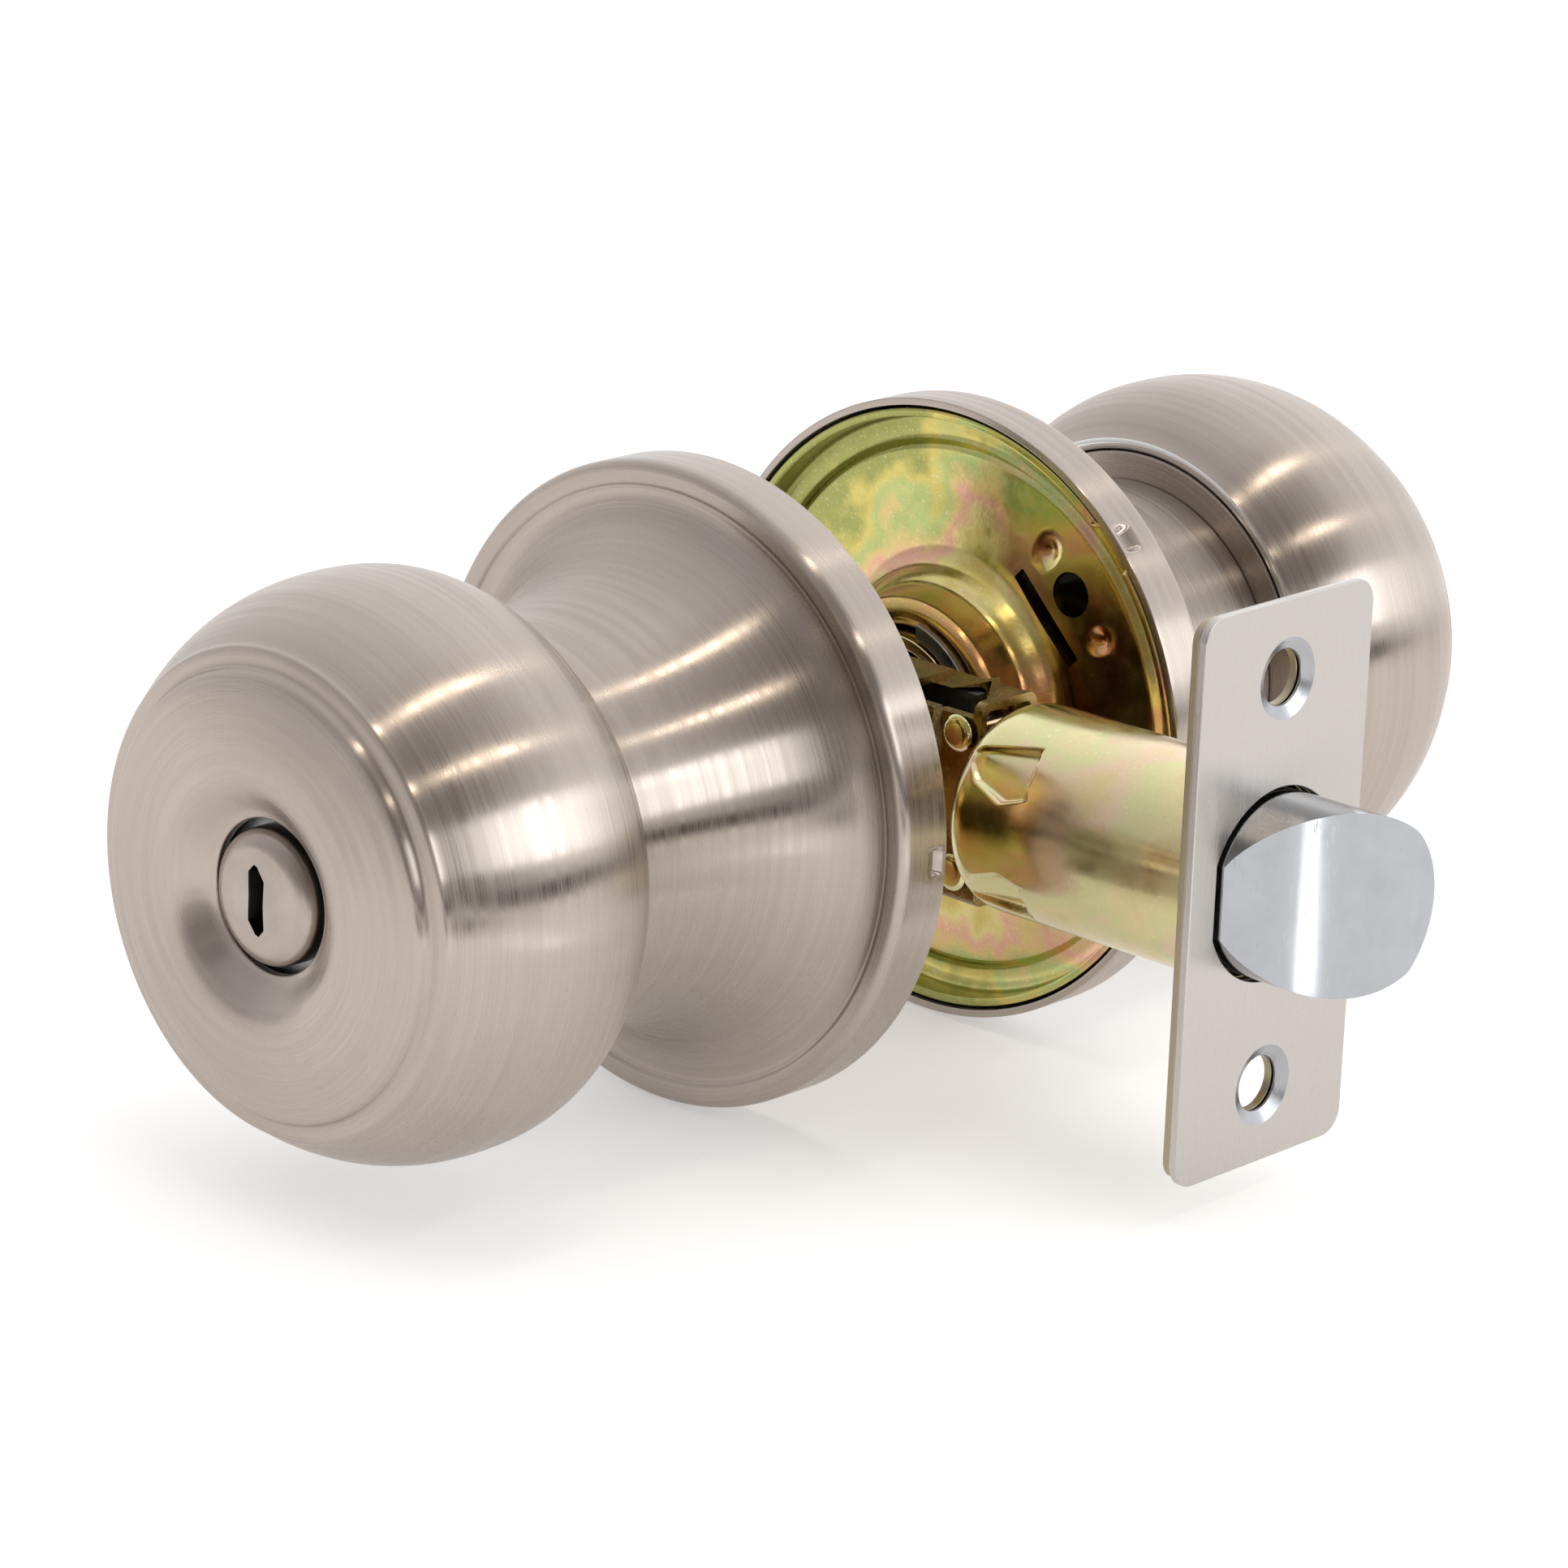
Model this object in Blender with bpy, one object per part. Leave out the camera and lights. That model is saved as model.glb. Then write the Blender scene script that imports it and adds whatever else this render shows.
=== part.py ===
"""Privacy door knob set with a tubular spring latch.

Two round stamped knobs turn one spindle through the door. The spindle turns a
cam in the latch, and the cam draws the bolt back against its spring. A slotted
plug in the outside knob and a turn button in the inside knob share one bar.

World frame: the spindle lies on Y and the latch on X, and they cross at the
origin. The outside knob is at -Y, the faceplate is at +X, and Z is up.
"""
import math

import bmesh
import bpy
from mathutils import Matrix, Vector

MM = 0.001

# What the door sets
DOOR_THICKNESS = 35.0 * MM
BACKSET = 60.0 * MM

# Clearances
TOUCH_GAP = 0.3 * MM            # between pieces that rest on each other
RUNNING_GAP = 0.4 * MM          # between a turning piece and a still one
SLIDING_GAP = 0.4 * MM          # between a sliding piece and its guide

# Rose: the trumpet shaped cover on each face of the door
ROSE_RADIUS = 33.2 * MM
ROSE_RIM_DEPTH = 6.1 * MM       # door face to the front of the rim
ROSE_RIM_ROUNDING = 1.1 * MM
ROSE_SHEET = 0.8 * MM
RIM_FACE_WIDTH = 2.9 * MM       # side wall to the crease round the trumpet
CREASE_DEPTH = 0.35 * MM
NECK_RADIUS = 19.6 * MM         # narrow end of the trumpet
NECK_END = 31.4 * MM            # door face to the narrow end

# Knob: a ball with a stepped, dished face
BALL_RADIUS = 28.9 * MM
BALL_CENTRE = NECK_END + 12.15 * MM
BALL_FRONT_REACH = 24.0 * MM    # semi-axis of the ball towards its face
BALL_BACK_REACH = 16.7 * MM     # semi-axis of the ball towards the door
BALL_FRONT_POWER = 2.1          # roundness of the two halves, 2 is an ellipse
BALL_BACK_POWER = 2.6
KNOB_SHEET = 0.9 * MM
LIP_RADIUS = 23.6 * MM          # rolled back edge of the ball
STEP_RADIUS = 23.8 * MM         # where the ball stops and the step begins
FACE_RADIUS = 21.8 * MM
STEP_HEIGHT = 1.5 * MM          # step edge to face edge
FACE_RISE = 1.25 * MM           # face edge up to the edge of the dish
DISH_RADIUS = 12.5 * MM
DISH_DEPTH = 2.65 * MM
FACE_HOLE_RADIUS = 7.6 * MM

# Plate that closes the back of the ball and carries it
BACK_SHEET = 1.0 * MM
BACK_COLLAR_RADIUS = 8.2 * MM
BACK_COLLAR_LENGTH = 9.5 * MM

# Core inside the ball, round the end of the spindle
CORE_RADIUS = 12.0 * MM

# Shank: the tube that carries each knob in its mounting plate
SHANK_RADIUS = 9.5 * MM
SHANK_WALL = 1.2 * MM

# Spindle: a round tube with two flats
SPINDLE_RADIUS = 4.6 * MM
SPINDLE_FLAT = 3.9 * MM         # centre to each flat
SPINDLE_BORE_RADIUS = 2.6 * MM
SPINDLE_PAST_BACK = 16.7 * MM   # how far the spindle runs on into each ball

# Mounting plate: one stamping, used on both faces of the door
PLATE_SHEET = 1.0 * MM
CHANNEL_DEPTH = 3.5 * MM        # door face to the channel behind the rim
CHANNEL_WIDTH = 2.2 * MM
PLATE_FLAT_DEPTH = 2.75 * MM    # door face to the flat of the plate
SHOULDER_RADIUS = 15.8 * MM     # foot of the spring cup
CUP_RADIUS = 13.6 * MM
CUP_HEIGHT = 5.2 * MM           # how far the spring cup stands into the door
CUP_TAPER = 0.7 * MM
CUP_MOUTH_WIDTH = 2.6 * MM

# Screw holes, slots and posts of the mounting plates
SCREW_CIRCLE_RADIUS = 21.9 * MM
SCREW_ANGLES = (45.0, 225.0)
SCREW_HOLE_RADIUS = 2.4 * MM
SLOT_CIRCLE_RADIUS = 17.4 * MM
SLOT_LENGTH = 11.4 * MM
SLOT_WIDTH = 1.6 * MM
POST_RADIUS = 3.2 * MM
POST_LENGTH = 9.0 * MM
POST_THREAD_RADIUS = 1.8 * MM

# Return springs, their drivers and the rings that hold the shanks
SPRING_WIRE = 0.9 * MM
SPRING_TURNS = 4
DRIVER_RADIUS = 15.0 * MM
DRIVER_SHEET = 1.0 * MM
RING_RADIUS = 11.4 * MM
RING_SHEET = 0.8 * MM
RING_OPENING = 5.0 * MM

# Privacy plug, turn button and the bar that joins them
PLUG_RADIUS = 6.75 * MM
PLUG_DOME = 1.8 * MM
PLUG_BARREL_RADIUS = 5.6 * MM
COIN_SLOT_LENGTH = 7.0 * MM
COIN_SLOT_WIDTH = 2.2 * MM
COIN_SLOT_DEPTH = 3.2 * MM
BUTTON_WING_LENGTH = 12.6 * MM
BUTTON_WING_WIDTH = 3.6 * MM
BUTTON_WING_HEIGHT = 7.0 * MM
BAR_WIDTH = 3.8 * MM
BAR_THICKNESS = 1.4 * MM
BAR_SEAT = 4.0 * MM             # how deep the bar sits in the plug and the button

# Faceplate and backplate
FACEPLATE_HEIGHT = 57.2 * MM
FACEPLATE_WIDTH = 25.4 * MM
FACEPLATE_SHEET = 0.9 * MM
FACEPLATE_CORNER = 2.6 * MM
BACKPLATE_INSET = 0.5 * MM
BACKPLATE_SHEET = 0.9 * MM
WOOD_SCREW_SPACING = 41.3 * MM
WOOD_SCREW_HOLE_RADIUS = 2.8 * MM
COUNTERSINK_RADIUS = 4.1 * MM
COUNTERSINK_LAND = 0.25 * MM    # straight wall left behind each countersink

# Tube section, and the bolt that slides in it: a round bar with a flat side and a curved bevel
TUBE_RADIUS = 10.75 * MM
TUBE_WALL = 1.0 * MM
BOLT_FLAT_DEPTH = 0.75 * MM     # taken off the round bolt on its bevelled side
BOLT_RADIUS = TUBE_RADIUS - TUBE_WALL - SLIDING_GAP
BOLT_FLAT = BOLT_RADIUS - BOLT_FLAT_DEPTH
BOLT_THROW = 12.1 * MM
BOLT_BODY = 14.0 * MM           # length behind the faceplate
BEVEL_START = 0.5 * MM          # flat side showing in front of the faceplate
BEVEL_SAGITTA = 1.35 * MM
BOLT_TIP_WIDTH = 3.4 * MM

# Latch tube and what slides in it
TUBE_LENGTH = 32.0 * MM
TUBE_SHOULDER = 3.6 * MM
TUBE_MOUTH_RADIUS = 6.8 * MM
SEAT_HOLE_RADIUS = 5.7 * MM
SEAT_SHEET = 1.2 * MM
LATCH_SPRING_INSET = 1.95 * MM  # side of the bolt in to the middle of the wire
LATCH_SPRING_RADIUS = BOLT_RADIUS - LATCH_SPRING_INSET
LATCH_SPRING_WIRE = 0.9 * MM
LATCH_SPRING_TURNS = 4

# Latch case, cam and retractor
CASE_HALF_WIDTH = 4.2 * MM
CASE_HALF_HEIGHT = 10.7 * MM
CASE_SHEET = 0.9 * MM
CASE_REACH = 13.0 * MM          # how far the case runs past the spindle
WINDOW_LENGTH = 5.6 * MM
CAM_HUB_RADIUS = 5.9 * MM
CAM_RADIUS = 9.5 * MM           # the half moon whose two corners pull the retractor
CAM_FACE = 5.0 * MM             # centre to the flat face of the half moon
CAM_PLATE_HALF = 1.2 * MM       # half thickness of the half moon
CAM_JOURNAL_REACH = 0.9 * MM    # hub past each side of the case
RETRACTOR_SHEET = 1.2 * MM
RAIL_HEIGHT = 3.0 * MM
LUG_LENGTH = 2.2 * MM
LUG_LEAD = 0.5 * MM             # from the flat of the half moon to each lug
NECK_HALF_HEIGHT = 4.5 * MM
TAIL_HALF_HEIGHT = 2.5 * MM
TAIL_HALF_THICKNESS = 1.2 * MM
RIVET_RADIUS = 1.2 * MM
RIVET_HEAD_RADIUS = 2.0 * MM
RIVET_HEAD_HEIGHT = 0.7 * MM

# Facets round each kind of piece
FACETS_SHELL = 32
FACETS_PLATE = 28
FACETS_SMALL = 20
FACETS_WIRE = 5
FACETS_COIL = 12

# Sizes that follow from the ones above
PLATE_RADIUS = ROSE_RADIUS - ROSE_SHEET - TOUCH_GAP
LIP_START = NECK_END
BACK_START = NECK_END + RUNNING_GAP
BALL_FACE = BALL_CENTRE + 14.5 * MM
FACE_EDGE = BALL_FACE + STEP_HEIGHT
DISH_EDGE = FACE_EDGE + FACE_RISE
DISH_FLOOR = DISH_EDGE - DISH_DEPTH
SPINDLE_END = BACK_START + SPINDLE_PAST_BACK
CORE_START = BACK_START + BACK_SHEET + BACK_COLLAR_LENGTH + TOUCH_GAP
CORE_END = DISH_FLOOR - KNOB_SHEET - 1.2 * MM
PLUG_START = SPINDLE_END + TOUCH_GAP
CUP_MOUTH = -CUP_HEIGHT
HALF_DOOR = DOOR_THICKNESS / 2


# ---------------------------------------------------------------- tools

def clear_scene():
    """Remove every object of the open scene."""
    for thing in list(bpy.data.objects):
        bpy.data.objects.remove(thing, do_unlink=True)


def make_material(name, colour, roughness, metallic):
    """A Principled material with a plain colour."""
    material = bpy.data.materials.new(name)
    material.use_nodes = True
    shader = material.node_tree.nodes["Principled BSDF"]
    shader.inputs["Base Color"].default_value = (*colour, 1.0)
    shader.inputs["Roughness"].default_value = roughness
    shader.inputs["Metallic"].default_value = metallic
    material.diffuse_color = (*colour, 1.0)
    return material


def make_empty(name, matrix):
    """An empty that pieces are parented to."""
    empty = bpy.data.objects.new(name, None)
    bpy.context.collection.objects.link(empty)
    empty.matrix_world = matrix
    return empty


def make_object(name, bm, parent, material=None):
    """Turn a bmesh into an object under its parent, shaded smooth."""
    bmesh.ops.remove_doubles(bm, verts=bm.verts, dist=0.001 * MM)
    bmesh.ops.recalc_face_normals(bm, faces=bm.faces)
    mesh = bpy.data.meshes.new(name)
    bm.to_mesh(mesh)
    bm.free()
    mesh.shade_smooth()
    mesh.set_sharp_from_angle(angle=math.radians(30.0))
    thing = bpy.data.objects.new(name, mesh)
    bpy.context.collection.objects.link(thing)
    thing.parent = parent
    if material:
        mesh.materials.append(material)
    return thing


def along_y(radius, distance):
    """Start of a profile turned round the Y axis."""
    return Vector((radius, distance, 0.0))


def along_x(radius, distance):
    """Start of a profile turned round the X axis."""
    return Vector((distance, 0.0, radius))


def turned(outline, facets, place=along_y):
    """A closed outline of (radius, distance) points turned round its axis."""
    bm = bmesh.new()
    verts = [bm.verts.new(place(radius, distance)) for radius, distance in outline]
    for first, second in zip(verts, verts[1:] + verts[:1]):
        on_axis = place(0.0, 1.0).cross(first.co).length + place(0.0, 1.0).cross(second.co).length
        if on_axis > 0.001 * MM:
            bm.edges.new((first, second))
    bmesh.ops.spin(
        bm, geom=bm.verts[:] + bm.edges[:], cent=(0.0, 0.0, 0.0), axis=place(0.0, 1.0),
        angle=2 * math.pi, steps=facets, use_merge=True, use_duplicate=False)
    return bm


def rod(radius, start, end, facets=FACETS_SMALL, place=along_y):
    """A plain round bar."""
    return turned([(0.0, start), (radius, start), (radius, end), (0.0, end)], facets, place)


def tube(outer, inner, start, end, facets=FACETS_SMALL, place=along_y):
    """A plain round tube."""
    outline = [(outer, start), (outer, end), (inner, end), (inner, start)]
    return turned(outline, facets, place)


def prism(outline, start, end, place):
    """A flat outline of (u, v) points drawn out from start to end."""
    bm = bmesh.new()
    face = bm.faces.new([bm.verts.new(place(u, v, start)) for u, v in outline])
    drawn = bmesh.ops.extrude_face_region(bm, geom=[face])
    moved = [item for item in drawn["geom"] if isinstance(item, bmesh.types.BMVert)]
    bmesh.ops.translate(bm, verts=moved, vec=place(0, 0, end) - place(0, 0, start))
    return bm


def plate_place(u, v, depth):
    """Outlines in the YZ plane, drawn out along X."""
    return Vector((depth, u, v))


def side_place(u, v, depth):
    """Outlines in the XZ plane, drawn out along Y."""
    return Vector((u, depth, v))


def block(low, high):
    """A box between two corners."""
    bm = bmesh.new()
    bmesh.ops.create_cube(bm, size=1.0)
    middle = [(a + b) / 2 for a, b in zip(low, high)]
    size = [b - a for a, b in zip(low, high)]
    bmesh.ops.scale(bm, verts=bm.verts, vec=size)
    bmesh.ops.translate(bm, verts=bm.verts, vec=middle)
    return bm


def boolean(thing, name, bm, operation):
    """Cut a shape out of a piece, or join one to it."""
    tool = make_object(f"{thing.name}_{name}", bm, thing.parent)
    tool.hide_render = True
    tool.display_type = "WIRE"
    modifier = thing.modifiers.new(name, "BOOLEAN")
    modifier.operation = operation
    modifier.solver = "EXACT"
    modifier.object = tool
    return tool


def cut(thing, name, bm):
    """Take a shape out of a piece."""
    return boolean(thing, name, bm, "DIFFERENCE")


def join(thing, name, bm):
    """Add a shape to a piece."""
    return boolean(thing, name, bm, "UNION")


def arc_points(centre, radius, start, end, steps):
    """Points on an arc, with its angles in degrees."""
    points = []
    for step in range(steps + 1):
        angle = math.radians(start + (end - start) * step / steps)
        points.append((centre[0] + radius * math.cos(angle), centre[1] + radius * math.sin(angle)))
    return points


def rounded_rectangle(width, height, corner, steps=4):
    """A rectangle with round corners, centred on zero."""
    across = width / 2 - corner
    up = height / 2 - corner
    points = []
    for turn, (u, v) in enumerate(((across, up), (-across, up), (-across, -up), (across, -up))):
        points += arc_points((u, v), corner, 90.0 * turn, 90.0 * turn + 90.0, steps)
    return points


def flatted_circle(radius, flat, facets=FACETS_SMALL):
    """A circle with two flats at v = +flat and v = -flat."""
    edge = math.degrees(math.asin(min(flat / radius, 1.0)))
    steps = facets // 4
    right = arc_points((0.0, 0.0), radius, -edge, edge, steps)
    left = arc_points((0.0, 0.0), radius, 180.0 - edge, 180.0 + edge, steps)
    return right + left


def bolt_section(radius, flat, facets=FACETS_SMALL):
    """A circle with one flat at u = -flat."""
    edge = math.degrees(math.acos(-flat / radius))
    return arc_points((0.0, 0.0), radius, -edge, edge, facets)


def coil(radius, wire, turns, start, end, place):
    """A round wire wound round an axis, with closed ends."""
    bm = bmesh.new()
    steps = turns * FACETS_COIL
    loops = []
    for step in range(steps + 1):
        angle = 2 * math.pi * step / FACETS_COIL
        distance = start + wire / 2 + (end - start - wire) * step / steps
        turn = Matrix.Rotation(angle, 3, place(0.0, 1.0))
        loop = []
        for facet in range(FACETS_WIRE):
            around = 2 * math.pi * facet / FACETS_WIRE
            point = place(radius + wire / 2 * math.cos(around), distance + wire / 2 * math.sin(around))
            loop.append(bm.verts.new(turn @ point))
        loops.append(loop)
    for first, second in zip(loops, loops[1:]):
        for facet in range(FACETS_WIRE):
            after = (facet + 1) % FACETS_WIRE
            bm.faces.new((first[facet], first[after], second[after], second[facet]))
    bm.faces.new(loops[0])
    bm.faces.new(loops[-1])
    return bm


# ---------------------------------------------------------------- profiles

def ball_radius_at(distance, shrink=0.0):
    """Radius of the ball at a distance from the door face."""
    if distance > BALL_CENTRE:
        reach = BALL_FRONT_REACH - shrink
        power = BALL_FRONT_POWER
    else:
        reach = BALL_BACK_REACH - shrink
        power = BALL_BACK_POWER
    share = min(abs(distance - BALL_CENTRE) / reach, 1.0)
    return (BALL_RADIUS - shrink) * (1.0 - share ** power) ** (1.0 / power)


def ball_curve(start, end, steps, shrink=0.0):
    """Points down the side of the ball between two distances."""
    points = []
    for step in range(steps + 1):
        distance = start + (end - start) * step / steps
        points.append((ball_radius_at(distance, shrink), distance))
    return points


def trumpet_curve(wide, narrow, start, end, steps):
    """Quarter ellipse from the wide foot of the trumpet to its narrow end."""
    points = []
    for step in range(steps + 1):
        angle = math.pi / 2 * step / steps
        radius = wide - (wide - narrow) * math.sin(angle)
        points.append((radius, start + (end - start) * (1.0 - math.cos(angle))))
    return points


def knob_shell_outline():
    """Section of the ball's sheet, from the face hole over the front to the lip."""
    lip = KNOB_SHEET / 2
    front = [
        (FACE_HOLE_RADIUS, DISH_FLOOR),
        ((FACE_HOLE_RADIUS + DISH_RADIUS) / 2, DISH_FLOOR + DISH_DEPTH * 0.68),
        (DISH_RADIUS, DISH_EDGE - 0.15 * MM),
        (DISH_RADIUS + 1.2 * MM, DISH_EDGE),
        (FACE_RADIUS - 1.1 * MM, FACE_EDGE),
        (FACE_RADIUS, FACE_EDGE - 0.35 * MM),
        (FACE_RADIUS + 0.6 * MM, BALL_FACE + 0.3 * MM),
        (STEP_RADIUS, BALL_FACE),
    ]
    side = ball_curve(BALL_FACE - 1.0 * MM, LIP_START + 1.6 * MM, 8)
    edge = [
        (LIP_RADIUS, LIP_START + lip),
        (LIP_RADIUS - lip, LIP_START),
        (LIP_RADIUS - KNOB_SHEET, LIP_START + lip),
    ]
    inside = ball_curve(LIP_START + 2.4 * MM, BALL_FACE - 1.6 * MM, 4, KNOB_SHEET)
    roof = [
        (FACE_RADIUS - 0.9 * MM, FACE_EDGE - KNOB_SHEET - 0.4 * MM),
        (DISH_RADIUS, DISH_EDGE - KNOB_SHEET),
        (FACE_HOLE_RADIUS, DISH_FLOOR - KNOB_SHEET),
    ]
    return front + side + edge + inside + roof


def rose_outline():
    """Section of the rose's sheet, from the door edge out to the neck and back."""
    foot = ROSE_RADIUS - RIM_FACE_WIDTH
    crease = ROSE_RIM_DEPTH - CREASE_DEPTH
    corner = (ROSE_RADIUS - ROSE_RIM_ROUNDING, ROSE_RIM_DEPTH - ROSE_RIM_ROUNDING)
    outside = [(ROSE_RADIUS, 0.0)]
    outside += arc_points(corner, ROSE_RIM_ROUNDING, 0.0, 90.0, 3)
    outside += trumpet_curve(foot, NECK_RADIUS, crease, NECK_END, 7)
    inside = trumpet_curve(foot - ROSE_SHEET, NECK_RADIUS - ROSE_SHEET, crease - ROSE_SHEET, NECK_END, 4)
    inside.reverse()
    wall = [
        (ROSE_RADIUS - ROSE_SHEET, crease - ROSE_SHEET),
        (ROSE_RADIUS - ROSE_SHEET, 0.0),
    ]
    return outside + inside + wall


def mounting_plate_outline():
    """Section of the dished plate, from its rim to the mouth of its spring cup."""
    channel = PLATE_RADIUS - CHANNEL_WIDTH
    step = CHANNEL_DEPTH - PLATE_FLAT_DEPTH
    mouth = CUP_RADIUS - CUP_TAPER
    hole = SHANK_RADIUS + RUNNING_GAP
    door_side = [
        (PLATE_RADIUS - PLATE_SHEET, 0.2 * MM),
        (PLATE_RADIUS - PLATE_SHEET - 0.2 * MM, CHANNEL_DEPTH - 0.7 * MM),
        (PLATE_RADIUS - PLATE_SHEET - 0.9 * MM, CHANNEL_DEPTH),
        (channel - PLATE_SHEET, CHANNEL_DEPTH),
        (channel - PLATE_SHEET - step, PLATE_FLAT_DEPTH),
        (SHOULDER_RADIUS + 0.8 * MM, PLATE_FLAT_DEPTH),
        (SHOULDER_RADIUS - 0.2 * MM, PLATE_FLAT_DEPTH - 0.8 * MM),
        (CUP_RADIUS + 0.6 * MM, 0.1 * MM),
        (CUP_RADIUS, -0.6 * MM),
        (mouth, CUP_MOUTH + 0.9 * MM),
        (mouth - 0.7 * MM, CUP_MOUTH),
        (mouth - CUP_MOUTH_WIDTH + 0.3 * MM, CUP_MOUTH + 0.1 * MM),
        (hole, CUP_MOUTH + 0.7 * MM),
    ]
    knob_side = [
        (hole, CUP_MOUTH + 0.7 * MM + PLATE_SHEET),
        (mouth - PLATE_SHEET, CUP_MOUTH + 0.7 * MM + PLATE_SHEET),
        (CUP_RADIUS - PLATE_SHEET, -0.2 * MM),
        (SHOULDER_RADIUS - PLATE_SHEET, PLATE_FLAT_DEPTH + PLATE_SHEET),
        (channel - PLATE_SHEET - step, PLATE_FLAT_DEPTH + PLATE_SHEET),
        (channel - PLATE_SHEET, CHANNEL_DEPTH + PLATE_SHEET),
        (PLATE_RADIUS - 0.8 * MM, CHANNEL_DEPTH + PLATE_SHEET),
        (PLATE_RADIUS, CHANNEL_DEPTH),
        (PLATE_RADIUS, 0.2 * MM),
    ]
    return door_side + knob_side


# ---------------------------------------------------------------- one half

def make_knob_shell(side, turning, satin):
    """The stamped ball with its stepped, dished face."""
    return make_object(f"{side}_knob_shell", turned(knob_shell_outline(), FACETS_SHELL), turning, satin)


def make_knob_back(side, turning, zinc):
    """The plate that closes the ball, with a collar keyed to the spindle."""
    radius = LIP_RADIUS - KNOB_SHEET - TOUCH_GAP
    collar_end = BACK_START + BACK_SHEET + BACK_COLLAR_LENGTH
    outline = [
        (0.0, BACK_START), (radius, BACK_START), (radius, BACK_START + BACK_SHEET),
        (BACK_COLLAR_RADIUS, BACK_START + BACK_SHEET), (BACK_COLLAR_RADIUS, collar_end), (0.0, collar_end),
    ]
    back = make_object(f"{side}_knob_back", turned(outline, FACETS_SHELL), turning, zinc)
    key = flatted_circle(SPINDLE_RADIUS + TOUCH_GAP, SPINDLE_FLAT + TOUCH_GAP)
    cut(back, "keyed_hole", prism(key, BACK_START - MM, collar_end + MM, side_place))
    return back


def make_knob_core(side, turning, zinc):
    """The ring inside the ball that centres the plug or the button."""
    bore = max(SPINDLE_RADIUS, PLUG_BARREL_RADIUS) + RUNNING_GAP
    return make_object(
        f"{side}_knob_core", tube(CORE_RADIUS, bore, CORE_START, CORE_END), turning, zinc)


def make_shank(side, turning, zinc):
    """The tube that joins the knob to its mounting plate and turns in it."""
    start = CUP_MOUTH - RING_SHEET - 2 * TOUCH_GAP
    outline = tube(SHANK_RADIUS, SHANK_RADIUS - SHANK_WALL, start, BACK_START - TOUCH_GAP)
    return make_object(f"{side}_shank", outline, turning, zinc)


def make_retaining_ring(side, turning, spring_steel):
    """The open spring ring that keeps the shank in the mounting plate."""
    start = CUP_MOUTH - RUNNING_GAP - RING_SHEET
    ring = make_object(
        f"{side}_retaining_ring",
        tube(RING_RADIUS, SHANK_RADIUS + TOUCH_GAP, start, start + RING_SHEET), turning, spring_steel)
    half = RING_OPENING / 2
    opening = block((-half, start - MM, 0.0), (half, start + RING_SHEET + MM, 2 * RING_RADIUS))
    cut(ring, "opening", opening)
    return ring


def make_return_spring(side, fixed, spring_steel):
    """The torsion spring in the cup, wound round the shank."""
    room = CUP_RADIUS - CUP_TAPER - PLATE_SHEET
    radius = (room + SHANK_RADIUS) / 2
    start = CUP_MOUTH + 0.7 * MM + PLATE_SHEET + TOUCH_GAP
    wound = coil(radius, SPRING_WIRE, SPRING_TURNS, start, start + 5.4 * MM, along_y)
    return make_object(f"{side}_return_spring", wound, fixed, spring_steel)


def make_spring_driver(side, turning, zinc):
    """The washer on the shank that winds the return spring."""
    start = PLATE_FLAT_DEPTH + PLATE_SHEET + RUNNING_GAP
    hole = SHANK_RADIUS + TOUCH_GAP
    outline = tube(DRIVER_RADIUS, hole, start, start + DRIVER_SHEET)
    return make_object(f"{side}_spring_driver", outline, turning, zinc)


def make_rose(side, fixed, satin):
    """The trumpet shaped cover."""
    return make_object(f"{side}_rose", turned(rose_outline(), FACETS_SHELL), fixed, satin)


def make_mounting_plate(side, fixed, zinc):
    """The dished plate with its spring cup, screw holes and slots."""
    plate = make_object(
        f"{side}_mounting_plate", turned(mounting_plate_outline(), FACETS_PLATE), fixed, zinc)
    depth = CHANNEL_DEPTH + PLATE_SHEET + MM
    for index, degrees in enumerate(SCREW_ANGLES):
        turn = Matrix.Rotation(-math.radians(degrees), 4, "Y")
        hole = rod(SCREW_HOLE_RADIUS, 0.0, depth, 16)
        bmesh.ops.translate(hole, verts=hole.verts, vec=(SCREW_CIRCLE_RADIUS, 0.0, 0.0))
        bmesh.ops.transform(hole, verts=hole.verts, matrix=turn)
        cut(plate, f"screw_hole_{index + 1}", hole)
        half_width = SLOT_WIDTH / 2
        half_length = SLOT_LENGTH / 2
        slot = block(
            (SLOT_CIRCLE_RADIUS - half_width, 0.5 * MM, -half_length),
            (SLOT_CIRCLE_RADIUS + half_width, depth, half_length))
        bmesh.ops.transform(slot, verts=slot.verts, matrix=turn)
        cut(plate, f"slot_{index + 1}", slot)
    return plate


def make_screw_posts(fixed, zinc):
    """Threaded posts on the outside plate that the two through screws reach."""
    spigot = SCREW_HOLE_RADIUS - TOUCH_GAP
    seat = PLATE_FLAT_DEPTH - TOUCH_GAP
    outline = [
        (POST_THREAD_RADIUS, seat - POST_LENGTH), (POST_RADIUS, seat - POST_LENGTH), (POST_RADIUS, seat),
        (spigot, seat), (spigot, PLATE_FLAT_DEPTH + PLATE_SHEET + 0.2 * MM),
        (0.0, PLATE_FLAT_DEPTH + PLATE_SHEET + 0.2 * MM), (0.0, seat - 1.5 * MM),
        (POST_THREAD_RADIUS, seat - 1.5 * MM),
    ]
    for name, degrees in zip(("upper", "lower"), SCREW_ANGLES):
        post = make_object(f"screw_post_{name}", turned(outline, 16), fixed, zinc)
        angle = math.radians(degrees)
        post.location = (
            SCREW_CIRCLE_RADIUS * math.cos(angle), 0.0, SCREW_CIRCLE_RADIUS * math.sin(angle))


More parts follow.
